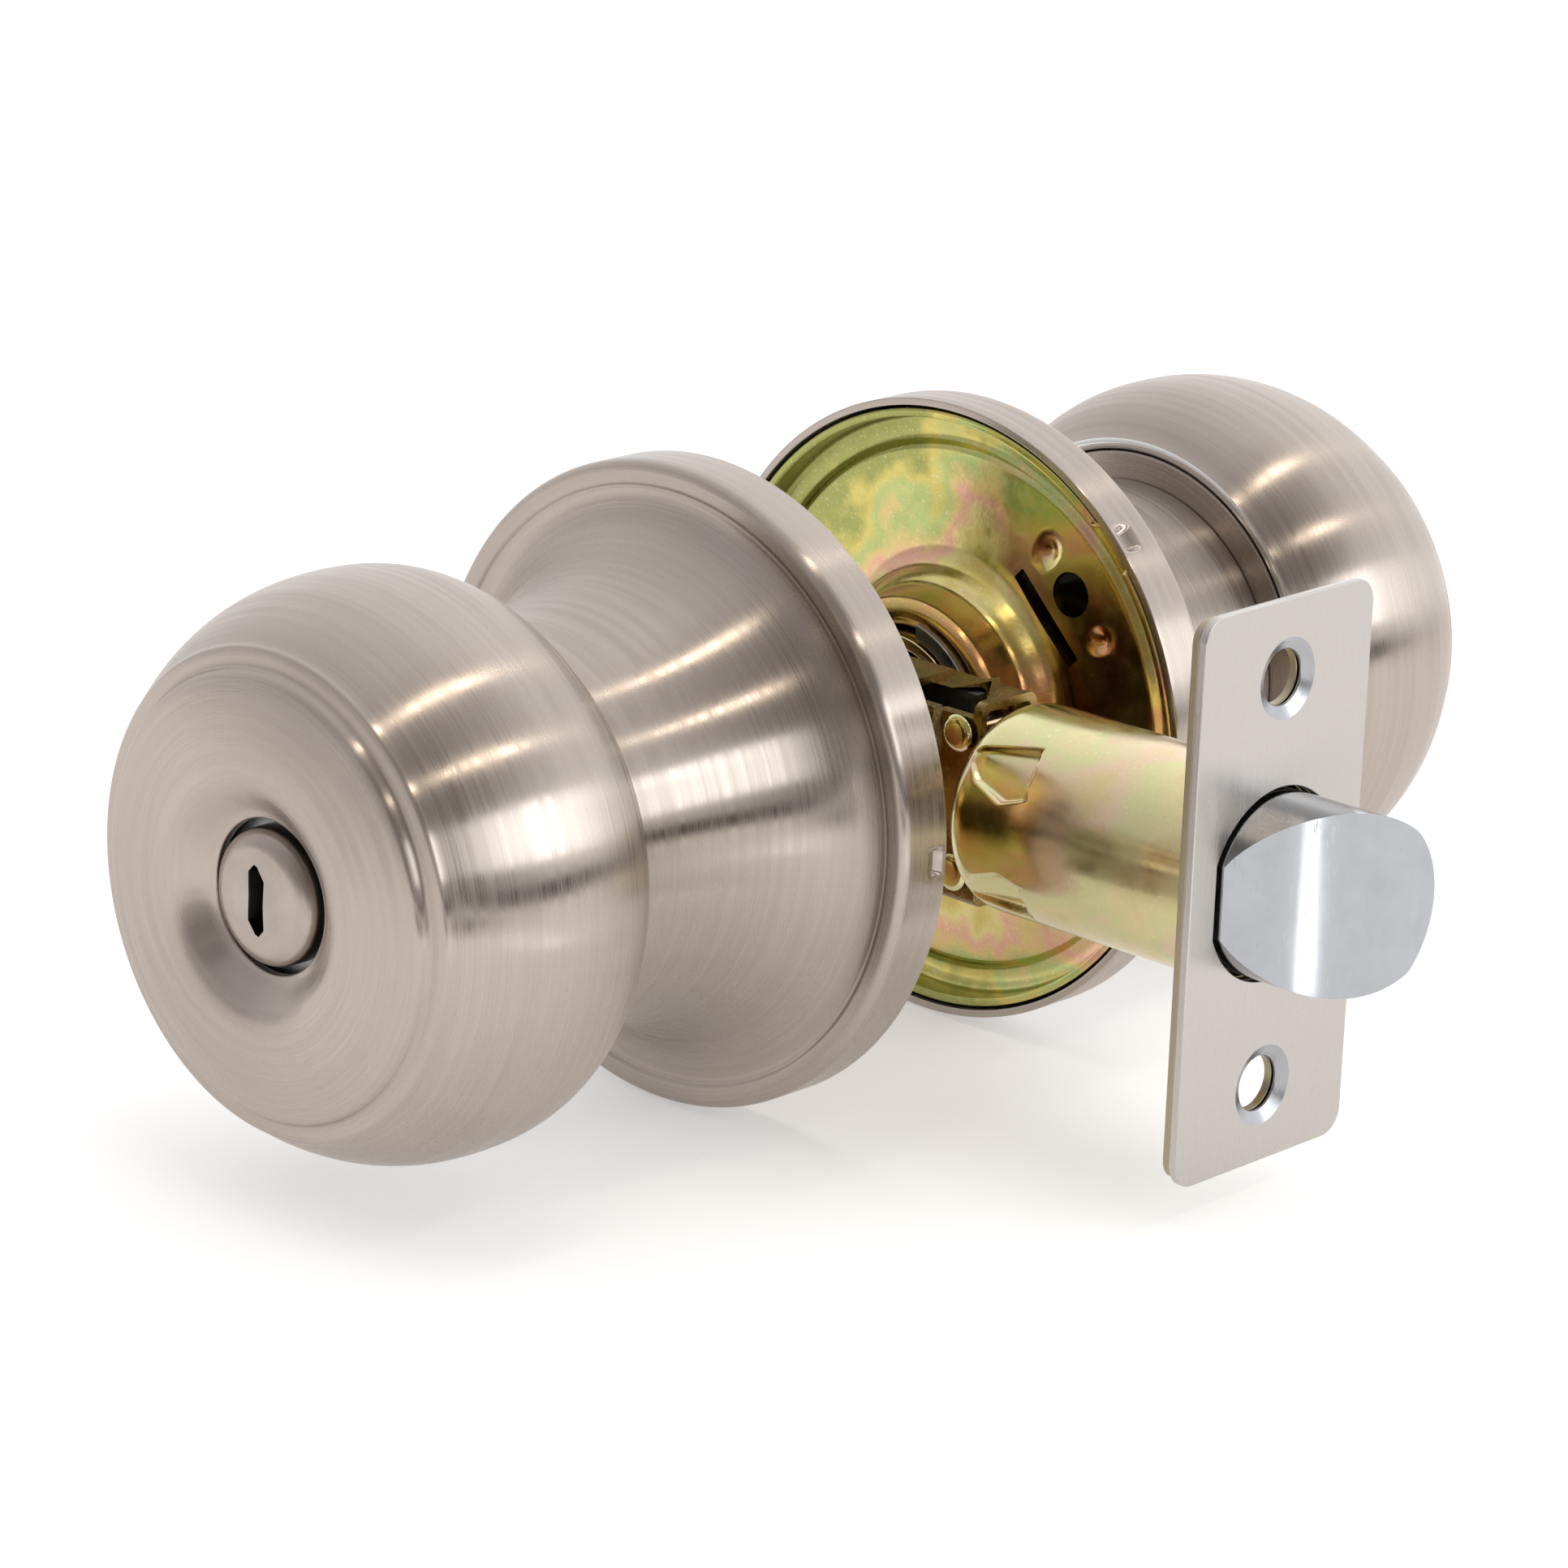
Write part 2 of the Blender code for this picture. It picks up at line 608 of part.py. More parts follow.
def make_half(side, fixed, turning, metals):
    """Every piece that both faces of the door have."""
    make_knob_shell(side, turning, metals["satin"])
    make_knob_back(side, turning, metals["satin"])
    make_knob_core(side, turning, metals["plain"])
    make_shank(side, turning, metals["zinc"])
    make_retaining_ring(side, turning, metals["spring"])
    make_spring_driver(side, turning, metals["zinc"])
    make_return_spring(side, fixed, metals["spring"])
    make_rose(side, fixed, metals["satin"])
    make_mounting_plate(side, fixed, metals["zinc"])


# ---------------------------------------------------------------- privacy lock

def plug_outline(cap_start, dome):
    """Section of a barrel with a domed cap that stands in the face hole."""
    cap = [
        (PLUG_RADIUS, cap_start), (PLUG_RADIUS, DISH_FLOOR + 0.1 * MM),
        (PLUG_RADIUS * 0.93, DISH_FLOOR + dome * 0.5), (PLUG_RADIUS * 0.76, DISH_FLOOR + dome * 0.86),
        (PLUG_RADIUS * 0.45, DISH_FLOOR + dome), (0.0, DISH_FLOOR + dome),
    ]
    barrel = [(0.0, PLUG_START), (PLUG_BARREL_RADIUS, PLUG_START), (PLUG_BARREL_RADIUS, cap_start)]
    return barrel + cap


def cut_bar_seat(thing):
    """The pocket that the end of the bar sits in."""
    across = BAR_THICKNESS / 2 + TOUCH_GAP
    up = BAR_WIDTH / 2 + TOUCH_GAP
    end = PLUG_START + BAR_SEAT + TOUCH_GAP
    cut(thing, "bar_seat", block((-across, PLUG_START - MM, -up), (across, end, up)))


def make_release_plug(locking, chrome):
    """The outside plug with its coin slot."""
    cap_start = CORE_END + RUNNING_GAP
    plug = make_object(
        "emergency_release_plug", turned(plug_outline(cap_start, PLUG_DOME), FACETS_SMALL), locking, chrome)
    top = DISH_FLOOR + PLUG_DOME
    across = COIN_SLOT_WIDTH / 2
    length = COIN_SLOT_LENGTH / 2
    pointed = [
        (0.0, length), (-across, length - across), (-across, across - length),
        (0.0, -length), (across, across - length), (across, length - across)]
    cut(plug, "coin_slot", prism(pointed, top - COIN_SLOT_DEPTH, top + MM, side_place))
    cut_bar_seat(plug)
    return plug


def make_turn_button(locking, satin):
    """The inside button with its thumb wing."""
    cap_start = CORE_END + RUNNING_GAP
    button = make_object(
        "turn_button", turned(plug_outline(cap_start, 0.8 * MM), FACETS_SMALL), locking, satin)
    root = DISH_FLOOR + 0.4 * MM
    top = DISH_FLOOR + BUTTON_WING_HEIGHT
    wing = rounded_rectangle(BUTTON_WING_WIDTH, BUTTON_WING_LENGTH, BUTTON_WING_WIDTH / 2.2)
    join(button, "wing", prism(wing, root, top, side_place))
    cut_bar_seat(button)
    return button


def make_lock_bar(locking, spring_steel):
    """The flat bar through the spindle that joins the plug and the button."""
    reach = HALF_DOOR + PLUG_START + BAR_SEAT
    across = BAR_THICKNESS / 2
    up = BAR_WIDTH / 2
    return make_object("lock_bar", block((-across, -reach, -up), (across, reach, up)), locking, spring_steel)


def make_spindle(turning, zinc):
    """The flatted tube through the latch that both knobs turn."""
    reach = HALF_DOOR + SPINDLE_END
    section = flatted_circle(SPINDLE_RADIUS, SPINDLE_FLAT)
    spindle = make_object("spindle", prism(section, -reach, reach, side_place), turning, zinc)
    cut(spindle, "bore", rod(SPINDLE_BORE_RADIUS, -reach - MM, reach + MM, 16))
    return spindle


# ---------------------------------------------------------------- latch

FACEPLATE_BACK = BACKSET - FACEPLATE_SHEET
BACKPLATE_FRONT = FACEPLATE_BACK - TOUCH_GAP
BACKPLATE_BACK = BACKPLATE_FRONT - BACKPLATE_SHEET
TUBE_FRONT = BACKPLATE_BACK - TOUCH_GAP
TUBE_REAR = TUBE_FRONT - TUBE_LENGTH
SEAT_REAR = TUBE_REAR + TUBE_SHOULDER - 0.4 * MM
SEAT_FRONT = SEAT_REAR + SEAT_SHEET
BOLT_REAR = BACKSET - BOLT_BODY
BOLT_TIP = BACKSET + BOLT_THROW
CASE_FRONT = TUBE_REAR - TOUCH_GAP
CASE_INNER_HALF = CASE_HALF_WIDTH - CASE_SHEET
CASE_INNER_HEIGHT = CASE_HALF_HEIGHT - CASE_SHEET


def cut_faceplate_holes(plate, back, front):
    """The bolt hole and the two screw holes through a plate."""
    hole = bolt_section(BOLT_RADIUS + SLIDING_GAP, BOLT_FLAT + SLIDING_GAP)
    cut(plate, "bolt_hole", prism(hole, back - MM, front + MM, plate_place))
    for name, height in (("upper", WOOD_SCREW_SPACING / 2), ("lower", -WOOD_SCREW_SPACING / 2)):
        round_hole = rod(WOOD_SCREW_HOLE_RADIUS, back - MM, front + MM, 16, along_x)
        bmesh.ops.translate(round_hole, verts=round_hole.verts, vec=(0.0, 0.0, height))
        cut(plate, f"{name}_screw_hole", round_hole)


def make_faceplate(fixed, satin):
    """The satin plate on the edge of the door, with countersunk screw holes."""
    outline = rounded_rectangle(FACEPLATE_WIDTH, FACEPLATE_HEIGHT, FACEPLATE_CORNER)
    plate = make_object(
        "latch_faceplate", prism(outline, FACEPLATE_BACK, BACKSET, plate_place), fixed, satin)
    cut_faceplate_holes(plate, FACEPLATE_BACK, BACKSET)
    sink_start = FACEPLATE_BACK + COUNTERSINK_LAND
    slope = (COUNTERSINK_RADIUS - WOOD_SCREW_HOLE_RADIUS) / (BACKSET - sink_start)
    past = COUNTERSINK_LAND / 2
    cone = [
        (0.0, sink_start - past), (WOOD_SCREW_HOLE_RADIUS - slope * past, sink_start - past),
        (COUNTERSINK_RADIUS + slope * past, BACKSET + past), (0.0, BACKSET + past)]
    for name, height in (("upper", WOOD_SCREW_SPACING / 2), ("lower", -WOOD_SCREW_SPACING / 2)):
        sink = turned(cone, 16, along_x)
        bmesh.ops.translate(sink, verts=sink.verts, vec=(0.0, 0.0, height))
        cut(plate, f"{name}_countersink", sink)
    return plate


def make_backplate(fixed, zinc):
    """The plain plate behind the faceplate that the tube is staked to."""
    width = FACEPLATE_WIDTH - 2 * BACKPLATE_INSET
    height = FACEPLATE_HEIGHT - 2 * BACKPLATE_INSET
    outline = rounded_rectangle(width, height, FACEPLATE_CORNER - BACKPLATE_INSET)
    plate = make_object(
        "latch_backplate", prism(outline, BACKPLATE_BACK, BACKPLATE_FRONT, plate_place), fixed, zinc)
    cut_faceplate_holes(plate, BACKPLATE_BACK, BACKPLATE_FRONT)
    return plate


def make_latch_tube(fixed, zinc):
    """The round sleeve that the bolt slides in, rolled in at its rear end."""
    inner = TUBE_RADIUS - TUBE_WALL
    shoulder = TUBE_SHOULDER
    outer_centre = (TUBE_RADIUS - shoulder, TUBE_REAR + shoulder)
    outside = [(TUBE_RADIUS, TUBE_FRONT)]
    outside += arc_points(outer_centre, shoulder, 0.0, -90.0, 3)
    inside = arc_points(outer_centre, shoulder - TUBE_WALL, -90.0, 0.0, 2)
    outline = outside + [(TUBE_MOUTH_RADIUS, TUBE_REAR), (TUBE_MOUTH_RADIUS, TUBE_REAR + TUBE_WALL)]
    outline += inside + [(inner, TUBE_FRONT)]
    return make_object("latch_tube", turned(outline, FACETS_PLATE, along_x), fixed, zinc)


def bevel_outline():
    """The bolt seen from above: its flat side, curved bevel and tip."""
    start = Vector((BACKSET + BEVEL_START, -BOLT_FLAT))
    end = Vector((BOLT_TIP, BOLT_RADIUS - BOLT_TIP_WIDTH))
    chord = end - start
    radius = (chord.length ** 2 / 4 + BEVEL_SAGITTA ** 2) / (2 * BEVEL_SAGITTA)
    outward = Vector((chord.y, -chord.x)).normalized()
    centre = (start + end) / 2 - outward * (radius - BEVEL_SAGITTA)
    first = math.degrees(math.atan2(start.y - centre.y, start.x - centre.x))
    last = math.degrees(math.atan2(end.y - centre.y, end.x - centre.x))
    return arc_points(centre, radius, first, last, 8)


def make_bolt(sliding, chrome):
    """The spring bolt, bevelled on the side that meets the strike."""
    section = bolt_section(BOLT_RADIUS, BOLT_FLAT, 28)
    bolt = make_object("latch_bolt", prism(section, BOLT_REAR, BOLT_TIP, plate_place), sliding, chrome)
    beyond = 2 * BOLT_RADIUS
    outline = bevel_outline() + [(BOLT_TIP + MM, BOLT_RADIUS - BOLT_TIP_WIDTH), (BOLT_TIP + MM, -beyond)]
    outline += [(BACKSET + BEVEL_START, -beyond)]
    bm = bmesh.new()
    face = bm.faces.new([bm.verts.new((x, y, -beyond)) for x, y in outline])
    drawn = bmesh.ops.extrude_face_region(bm, geom=[face])
    moved = [item for item in drawn["geom"] if isinstance(item, bmesh.types.BMVert)]
    bmesh.ops.translate(bm, verts=moved, vec=(0.0, 0.0, 2 * beyond))
    cut(bolt, "bevel", bm)
    return bolt


def make_bolt_tail(sliding, zinc):
    """The flat stem behind the bolt, inside its spring."""
    low = (CASE_FRONT - 2.0 * MM, -TAIL_HALF_THICKNESS, -TAIL_HALF_HEIGHT)
    high = (BOLT_REAR - TOUCH_GAP, TAIL_HALF_THICKNESS, TAIL_HALF_HEIGHT)
    return make_object("bolt_tail", block(low, high), sliding, zinc)


def make_retractor(sliding, zinc):
    """The forked plate that the cam pulls, with a lug for each way of turning."""
    rail_low = CAM_HUB_RADIUS + SLIDING_GAP
    rail_high = rail_low + RAIL_HEIGHT
    rear = CAM_FACE - LUG_LEAD - LUG_LENGTH
    window_end = CAM_HUB_RADIUS + SLIDING_GAP + BOLT_THROW
    shoulder = window_end + 1.2 * MM
    tip = SEAT_FRONT + 2.0 * MM
    outline = [
        (rear, rail_high), (rear, rail_low), (window_end, rail_low), (window_end, -rail_low),
        (rear, -rail_low), (rear, -rail_high), (shoulder, -rail_high), (shoulder, -NECK_HALF_HEIGHT),
        (tip, -NECK_HALF_HEIGHT), (tip, NECK_HALF_HEIGHT), (shoulder, NECK_HALF_HEIGHT),
        (shoulder, rail_high)]
    near = CAM_PLATE_HALF + SLIDING_GAP
    far = near + RETRACTOR_SHEET
    retractor = make_object("retractor", prism(outline, near, far, side_place), sliding, zinc)
    for name, low, high in (("upper", rail_low, rail_high), ("lower", -rail_high, -rail_low)):
        lug = block((rear, -CAM_PLATE_HALF, low), (rear + LUG_LENGTH, far - 0.2 * MM, high))
        join(retractor, f"{name}_lug", lug)
    return retractor


def make_latch_cam(turning, zinc):
    """The hub keyed to the spindle, with a half moon on its latch side."""
    reach = CASE_HALF_WIDTH + CAM_JOURNAL_REACH
    cam = make_object("latch_cam", rod(CAM_HUB_RADIUS, -reach, reach), turning, zinc)
    corner = math.degrees(math.acos(CAM_FACE / CAM_RADIUS))
    moon = arc_points((0.0, 0.0), CAM_RADIUS, -corner, corner, 12)
    join(cam, "half_moon", prism(moon, -CAM_PLATE_HALF, CAM_PLATE_HALF, side_place))
    key = flatted_circle(SPINDLE_RADIUS + TOUCH_GAP, SPINDLE_FLAT + TOUCH_GAP)
    cut(cam, "keyed_hole", prism(key, -reach - MM, reach + MM, side_place))
    return cam


def make_latch_case(fixed, zinc):
    """The folded box behind the tube, open at its ends and in its top."""
    low = (-CASE_REACH, -CASE_HALF_WIDTH, -CASE_HALF_HEIGHT)
    high = (CASE_FRONT, CASE_HALF_WIDTH, CASE_HALF_HEIGHT)
    case = make_object("latch_case", block(low, high), fixed, zinc)
    inside = block(
        (-CASE_REACH - MM, -CASE_INNER_HALF, -CASE_INNER_HEIGHT),
        (CASE_FRONT + MM, CASE_INNER_HALF, CASE_INNER_HEIGHT))
    cut(case, "inside", inside)
    hole = rod(CAM_HUB_RADIUS + RUNNING_GAP, -2 * CASE_HALF_WIDTH, 2 * CASE_HALF_WIDTH)
    cut(case, "hub_holes", hole)
    window_end = CASE_FRONT - 2.0 * MM
    window = block(
        (window_end - WINDOW_LENGTH, -CASE_INNER_HALF, CASE_INNER_HEIGHT - MM),
        (window_end, CASE_INNER_HALF, CASE_HALF_HEIGHT + MM))
    cut(case, "top_window", window)
    for name, x, z in rivet_places():
        pin = rod(RIVET_RADIUS + TOUCH_GAP, -2 * CASE_HALF_WIDTH, 2 * CASE_HALF_WIDTH, 12)
        bmesh.ops.translate(pin, verts=pin.verts, vec=(x, 0.0, z))
        cut(case, f"{name}_rivet_hole", pin)
    return case


def rivet_places():
    """Name, X and Z of each rivet through the case."""
    front = CASE_FRONT - 2.6 * MM
    rear = -CASE_REACH + 2.4 * MM
    height = NECK_HALF_HEIGHT + 2.8 * MM
    return (("upper", front, height), ("lower", front, -height), ("rear", rear, 0.0))


def make_rivets(fixed, zinc):
    """The pins that hold the sides of the case together."""
    head = CASE_HALF_WIDTH + TOUCH_GAP
    end = head + RIVET_HEAD_HEIGHT
    outline = [
        (0.0, -end), (RIVET_HEAD_RADIUS, -end), (RIVET_HEAD_RADIUS, -head), (RIVET_RADIUS, -head),
        (RIVET_RADIUS, head), (RIVET_HEAD_RADIUS, head), (RIVET_HEAD_RADIUS, end), (0.0, end)]
    for name, x, z in rivet_places():
        rivet = make_object(f"case_rivet_{name}", turned(outline, 12), fixed, zinc)
        rivet.location = (x, 0.0, z)


def make_spring_seat(fixed, zinc):
    """The washer in the tube that the bolt spring pushes against."""
    outer = TUBE_RADIUS - TUBE_WALL - TOUCH_GAP
    outline = tube(outer, SEAT_HOLE_RADIUS, SEAT_REAR, SEAT_FRONT, FACETS_SMALL, along_x)
    return make_object("spring_seat", outline, fixed, zinc)


def make_latch_spring(fixed, spring_steel):
    """The spring that pushes the bolt out."""
    wound = coil(
        LATCH_SPRING_RADIUS, LATCH_SPRING_WIRE, LATCH_SPRING_TURNS,
        SEAT_FRONT + TOUCH_GAP, BOLT_REAR - TOUCH_GAP, along_x)
    return make_object("latch_spring", wound, fixed, spring_steel)


# ---------------------------------------------------------------- the whole set

def make_metals():
    """The finishes of the set."""
    return {
        "satin": make_material("satin_stainless", (0.56, 0.52, 0.48), 0.34, 1.0),
        "zinc": make_material("yellow_zinc", (0.62, 0.50, 0.24), 0.3, 1.0),
        "plain": make_material("die_cast_zinc", (0.55, 0.55, 0.56), 0.45, 1.0),
        "chrome": make_material("polished_chrome", (0.72, 0.73, 0.74), 0.12, 1.0),
        "spring": make_material("spring_steel", (0.36, 0.36, 0.38), 0.3, 1.0),
    }


def main():
    clear_scene()
    metals = make_metals()
    diagonal = Vector((1.0, 0.0, 1.0)).normalized()
    outside = Matrix.Translation((0.0, -HALF_DOOR, 0.0)) @ Matrix.Rotation(math.pi, 4, diagonal)
    inside = Matrix.Translation((0.0, HALF_DOOR, 0.0))
    centre = Matrix.Identity(4)
    outside_knob = Matrix.Translation((0.0, -HALF_DOOR, 0.0)) @ Matrix.Rotation(math.pi, 4, "Z")
    halves = (("exterior", outside, outside_knob), ("interior", inside, inside))
    for side, face_matrix, knob_matrix in halves:
        fixed = make_empty(f"{side}_door_face", face_matrix)
        turning = make_empty(f"{side}_knob_axis", knob_matrix)
        locking = make_empty(f"{side}_lock_axis", knob_matrix)
        make_half(side, fixed, turning, metals)
        if side == "exterior":
            make_screw_posts(fixed, metals["zinc"])
            make_release_plug(locking, metals["chrome"])
        else:
            make_turn_button(locking, metals["satin"])
    spindle_axis = make_empty("spindle_axis", centre)
    make_spindle(spindle_axis, metals["zinc"])
    make_latch_cam(spindle_axis, metals["plain"])
    make_lock_bar(make_empty("lock_axis", centre), metals["spring"])
    latch = make_empty("latch_axis", centre)
    make_faceplate(latch, metals["satin"])
    make_backplate(latch, metals["zinc"])
    make_latch_tube(latch, metals["zinc"])
    make_latch_case(latch, metals["zinc"])
    make_rivets(latch, metals["zinc"])
    make_spring_seat(latch, metals["zinc"])
    make_latch_spring(latch, metals["spring"])
    bolt_slide = make_empty("bolt_slide", centre)
    make_bolt(bolt_slide, metals["chrome"])
    make_bolt_tail(bolt_slide, metals["plain"])
    make_retractor(bolt_slide, metals["plain"])


main()
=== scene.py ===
"""Privacy door knob set, as a Blender add-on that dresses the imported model.

The shared frame is in metres: the spindle lies on Y, the latch on X, Z is up. The
outside knob is at -Y and the faceplate at +X. Distances along the spindle are
counted from the middle of the door, and are the same for both knobs.
"""

import math

import bmesh
import bpy
from mathutils import Matrix, Vector


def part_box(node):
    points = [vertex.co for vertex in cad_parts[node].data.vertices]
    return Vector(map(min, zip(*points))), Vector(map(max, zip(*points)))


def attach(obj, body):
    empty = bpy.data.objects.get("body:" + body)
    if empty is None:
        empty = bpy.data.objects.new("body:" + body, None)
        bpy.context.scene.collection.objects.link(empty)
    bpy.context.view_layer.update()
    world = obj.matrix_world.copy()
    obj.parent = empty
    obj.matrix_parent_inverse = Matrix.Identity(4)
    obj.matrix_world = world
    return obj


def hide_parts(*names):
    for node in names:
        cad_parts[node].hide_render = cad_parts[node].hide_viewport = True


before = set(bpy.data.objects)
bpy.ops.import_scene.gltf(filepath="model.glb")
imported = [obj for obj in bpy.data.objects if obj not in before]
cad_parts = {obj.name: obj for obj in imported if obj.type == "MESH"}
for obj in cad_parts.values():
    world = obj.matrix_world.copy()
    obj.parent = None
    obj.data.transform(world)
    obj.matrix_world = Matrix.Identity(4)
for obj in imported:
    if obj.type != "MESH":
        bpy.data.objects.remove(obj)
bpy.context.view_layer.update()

bl_info = {
    "name": "Privacy Door Knob Set",
    "version": (1, 0, 0),
    "blender": (4, 5, 0),
    "location": "3D View > Sidebar > Door Knob",
    "description": "Fine surfaces, finishes and a studio for a tubular privacy knob set",
    "category": "Object",
}

MM = 0.001
WELD = 0.002            # points closer than this are one, in millimetres
HALF_DOOR = 17.5
FLOOR_LEVEL = -33.5
FACEPLATE_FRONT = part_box("latch_faceplate")[1].x / MM
TUBE_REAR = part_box("latch_tube")[0].x / MM
TUBE_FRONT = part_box("latch_tube")[1].x / MM
BOLT_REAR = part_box("latch_bolt")[0].x / MM
BOLT_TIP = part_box("latch_bolt")[1].x / MM
SIDES = {"exterior": -1.0, "interior": 1.0}


def linear(hex_colour):
    """Turn an sRGB hex colour into the linear one that a shader takes."""
    parts = [int(hex_colour[i:i + 2], 16) / 255 for i in (0, 2, 4)]
    return tuple(c / 12.92 if c <= 0.04045 else ((c + 0.055) / 1.055) ** 2.4 for c in parts)


# ---------------------------------------------------------------- settings

class KnobSizes(bpy.types.PropertyGroup):
    """Sizes of the visible turned pieces, in millimetres."""

    rose_radius: bpy.props.FloatProperty(
        name="Rose radius", description="Outer radius of the rose's rim", default=33.2, min=20, max=60)
    neck_radius: bpy.props.FloatProperty(
        name="Neck radius", description="Narrow end of the trumpet", default=19.6, min=10, max=30)
    ball_radius: bpy.props.FloatProperty(
        name="Ball radius", description="Widest radius of the knob", default=28.9, min=15, max=40)
    plug_radius: bpy.props.FloatProperty(
        name="Plug radius", description="Radius of the slotted plug", default=6.75, min=3, max=7.3)
    tube_radius: bpy.props.FloatProperty(
        name="Tube radius", description="Outer radius of the latch tube", default=10.75, min=8, max=14)
    bolt_radius: bpy.props.FloatProperty(
        name="Bolt radius", description="Radius of the round bolt", default=9.35, min=6, max=12)
    facets: bpy.props.IntProperty(
        name="Facets", description="Facets round each large turned piece", default=256, min=48, max=512)


class FinishColours(bpy.types.PropertyGroup):
    """Colours of the finishes."""

    stainless: bpy.props.FloatVectorProperty(
        name="Satin stainless", description="Turned stainless of knobs and roses", subtype="COLOR",
        size=3, min=0, max=1, default=linear("B1A69D"))
    faceplate: bpy.props.FloatVectorProperty(
        name="Faceplate", description="Drawn stainless of the faceplate", subtype="COLOR",
        size=3, min=0, max=1, default=linear("BCB7B2"))
    chromate: bpy.props.FloatVectorProperty(
        name="Yellow chromate", description="Ground colour of the yellow plating", subtype="COLOR",
        size=3, min=0, max=1, default=linear("D8C88C"))
    chrome: bpy.props.FloatVectorProperty(
        name="Bolt plating", description="Bright plating of the bolt", subtype="COLOR",
        size=3, min=0, max=1, default=linear("A9ACB0"))
    floor: bpy.props.FloatVectorProperty(
        name="Floor", description="Pale floor under the set", subtype="COLOR",
        size=3, min=0, max=1, default=linear("E8E7E7"))


# ---------------------------------------------------------------- node helper

def add_node(tree, kind, settings=None, values=None, links=None):
    """Add a node, set its settings and socket values, and link its sockets."""
    made = tree.nodes.new(kind)
    for name, value in (settings or {}).items():
        setattr(made, name, value)
    for socket, value in (values or {}).items():
        made.inputs[socket].default_value = value
    for socket, source in (links or {}).items():
        tree.links.new(source, made.inputs[socket])
    return made


def math_node(tree, operation, first, second=0.0):
    """A Math node fed by two sockets or numbers."""
    values = {i: v for i, v in enumerate((first, second)) if isinstance(v, float)}
    links = {i: v for i, v in enumerate((first, second)) if not isinstance(v, float)}
    return add_node(tree, "ShaderNodeMath", {"operation": operation}, values, links).outputs[0]


def new_material(name, colour, roughness, metallic=1.0):
    """A Principled material with its plain values set on the shader's own sockets."""
    material = bpy.data.materials.new(name)
    material.use_nodes = True
    tree = material.node_tree
    shader = tree.nodes["Principled BSDF"]
    shader.inputs["Base Color"].default_value = (*colour, 1.0)
    shader.inputs["Roughness"].default_value = roughness
    shader.inputs["Metallic"].default_value = metallic
    return material, tree, shader


def object_place(tree):
    """The object's own coordinates, in millimetres."""
    place = add_node(tree, "ShaderNodeTexCoord").outputs["Object"]
    scaled = add_node(tree, "ShaderNodeVectorMath", {"operation": "SCALE"}, {"Scale": 1 / MM}, {0: place})
    return scaled.outputs[0]


def split_axes(tree, vector):
    """The X, Y and Z of a vector."""
    split = add_node(tree, "ShaderNodeSeparateXYZ", links={0: vector})
    return split.outputs["X"], split.outputs["Y"], split.outputs["Z"]


def noise_at(tree, vector, scale, detail=3.0, roughness=0.55):
    """Noise between 0 and 1."""
    values = {"Scale": scale, "Detail": detail, "Roughness": roughness}
    return add_node(tree, "ShaderNodeTexNoise", values=values, links={"Vector": vector}).outputs["Fac"]


def remap(tree, source, low, high, to_low, to_high, smooth=False):
    """Move a value from one range to another, clamped."""
    settings = {"interpolation_type": "SMOOTHSTEP" if smooth else "LINEAR", "clamp": True}
    values = {"From Min": low, "From Max": high, "To Min": to_low, "To Max": to_high}
    return add_node(tree, "ShaderNodeMapRange", settings, values, {"Value": source}).outputs[0]


def weighted_sum(tree, offset, *terms):
    """Add (socket, weight) terms to an offset."""
    total = offset
    for source, weight in terms:
        total = math_node(tree, "ADD", math_node(tree, "MULTIPLY", source, weight), total)
    return total


def mix_colour(tree, factor, first, second):
    """Mix two colours, each a socket or three numbers."""
    made = add_node(tree, "ShaderNodeMix", {"data_type": "RGBA"}, links={0: factor})
    for socket, value in ((6, first), (7, second)):
        if isinstance(value, bpy.types.NodeSocket):
            tree.links.new(value, made.inputs[socket])
        else:
            made.inputs[socket].default_value = (*value[:3], 1.0)
    return made.outputs[2]


def colour_ramp(tree, factor, stops):
    """A ramp of (position, hex colour) stops."""
    made = add_node(tree, "ShaderNodeValToRGB", links={0: factor})
    elements = made.color_ramp.elements
    while len(elements) < len(stops):
        elements.new(0.5)
    for element, (position, hex_colour) in zip(elements, stops):
        element.position = position
        element.color = (*linear(hex_colour), 1.0)
    return made.outputs[0]


# ---------------------------------------------------------------- finishes

FILM_COLOURS = {
    "plate": (
        (0.0, "D9C48C"), (0.1, "C4743E"), (0.2, "CC9468"), (0.3, "C2A264"), (0.4, "C2AE62"), (0.5, "D6C684"),
        (0.6, "D8A690"), (0.68, "D2B87C"), (0.78, "AEBA78"), (0.88, "CCBC6C"), (1.0, "9A9C5C")),
    "tube": (
        (0.0, "A08250"), (0.25, "C9B47C"), (0.42, "D9CA9A"), (0.55, "CFCC98"), (0.66, "DCC2A4"),
        (0.8, "D6C48A"), (1.0, "BFC08A")),
    # The case's stops are far darker than the tube's: painted shade for the hollow between the rose's rim and
    # the tube.
    "case": ((0.0, "5A4626"), (0.3, "8A7040"), (0.5, "6E5A34"), (0.7, "9A8450"), (1.0, "5C5030")),
}


def shades(colour, first, second):
    """Two shades of a colour, each as a share of it."""
    return [min(c * first, 1.0) for c in colour], [min(c * second, 1.0) for c in colour]


def lay_finish(tree, shader, tint, roughness, height, strength, depth):
    """Link a finish's colour, roughness and relief, whose depth is in millimetres."""
    bump = add_node(tree, "ShaderNodeBump", values={"Strength": strength, "Distance": depth * MM},
                    links={"Height": height})
    tree.links.new(tint, shader.inputs["Base Color"])
    tree.links.new(roughness, shader.inputs["Roughness"])
    tree.links.new(bump.outputs[0], shader.inputs["Normal"])


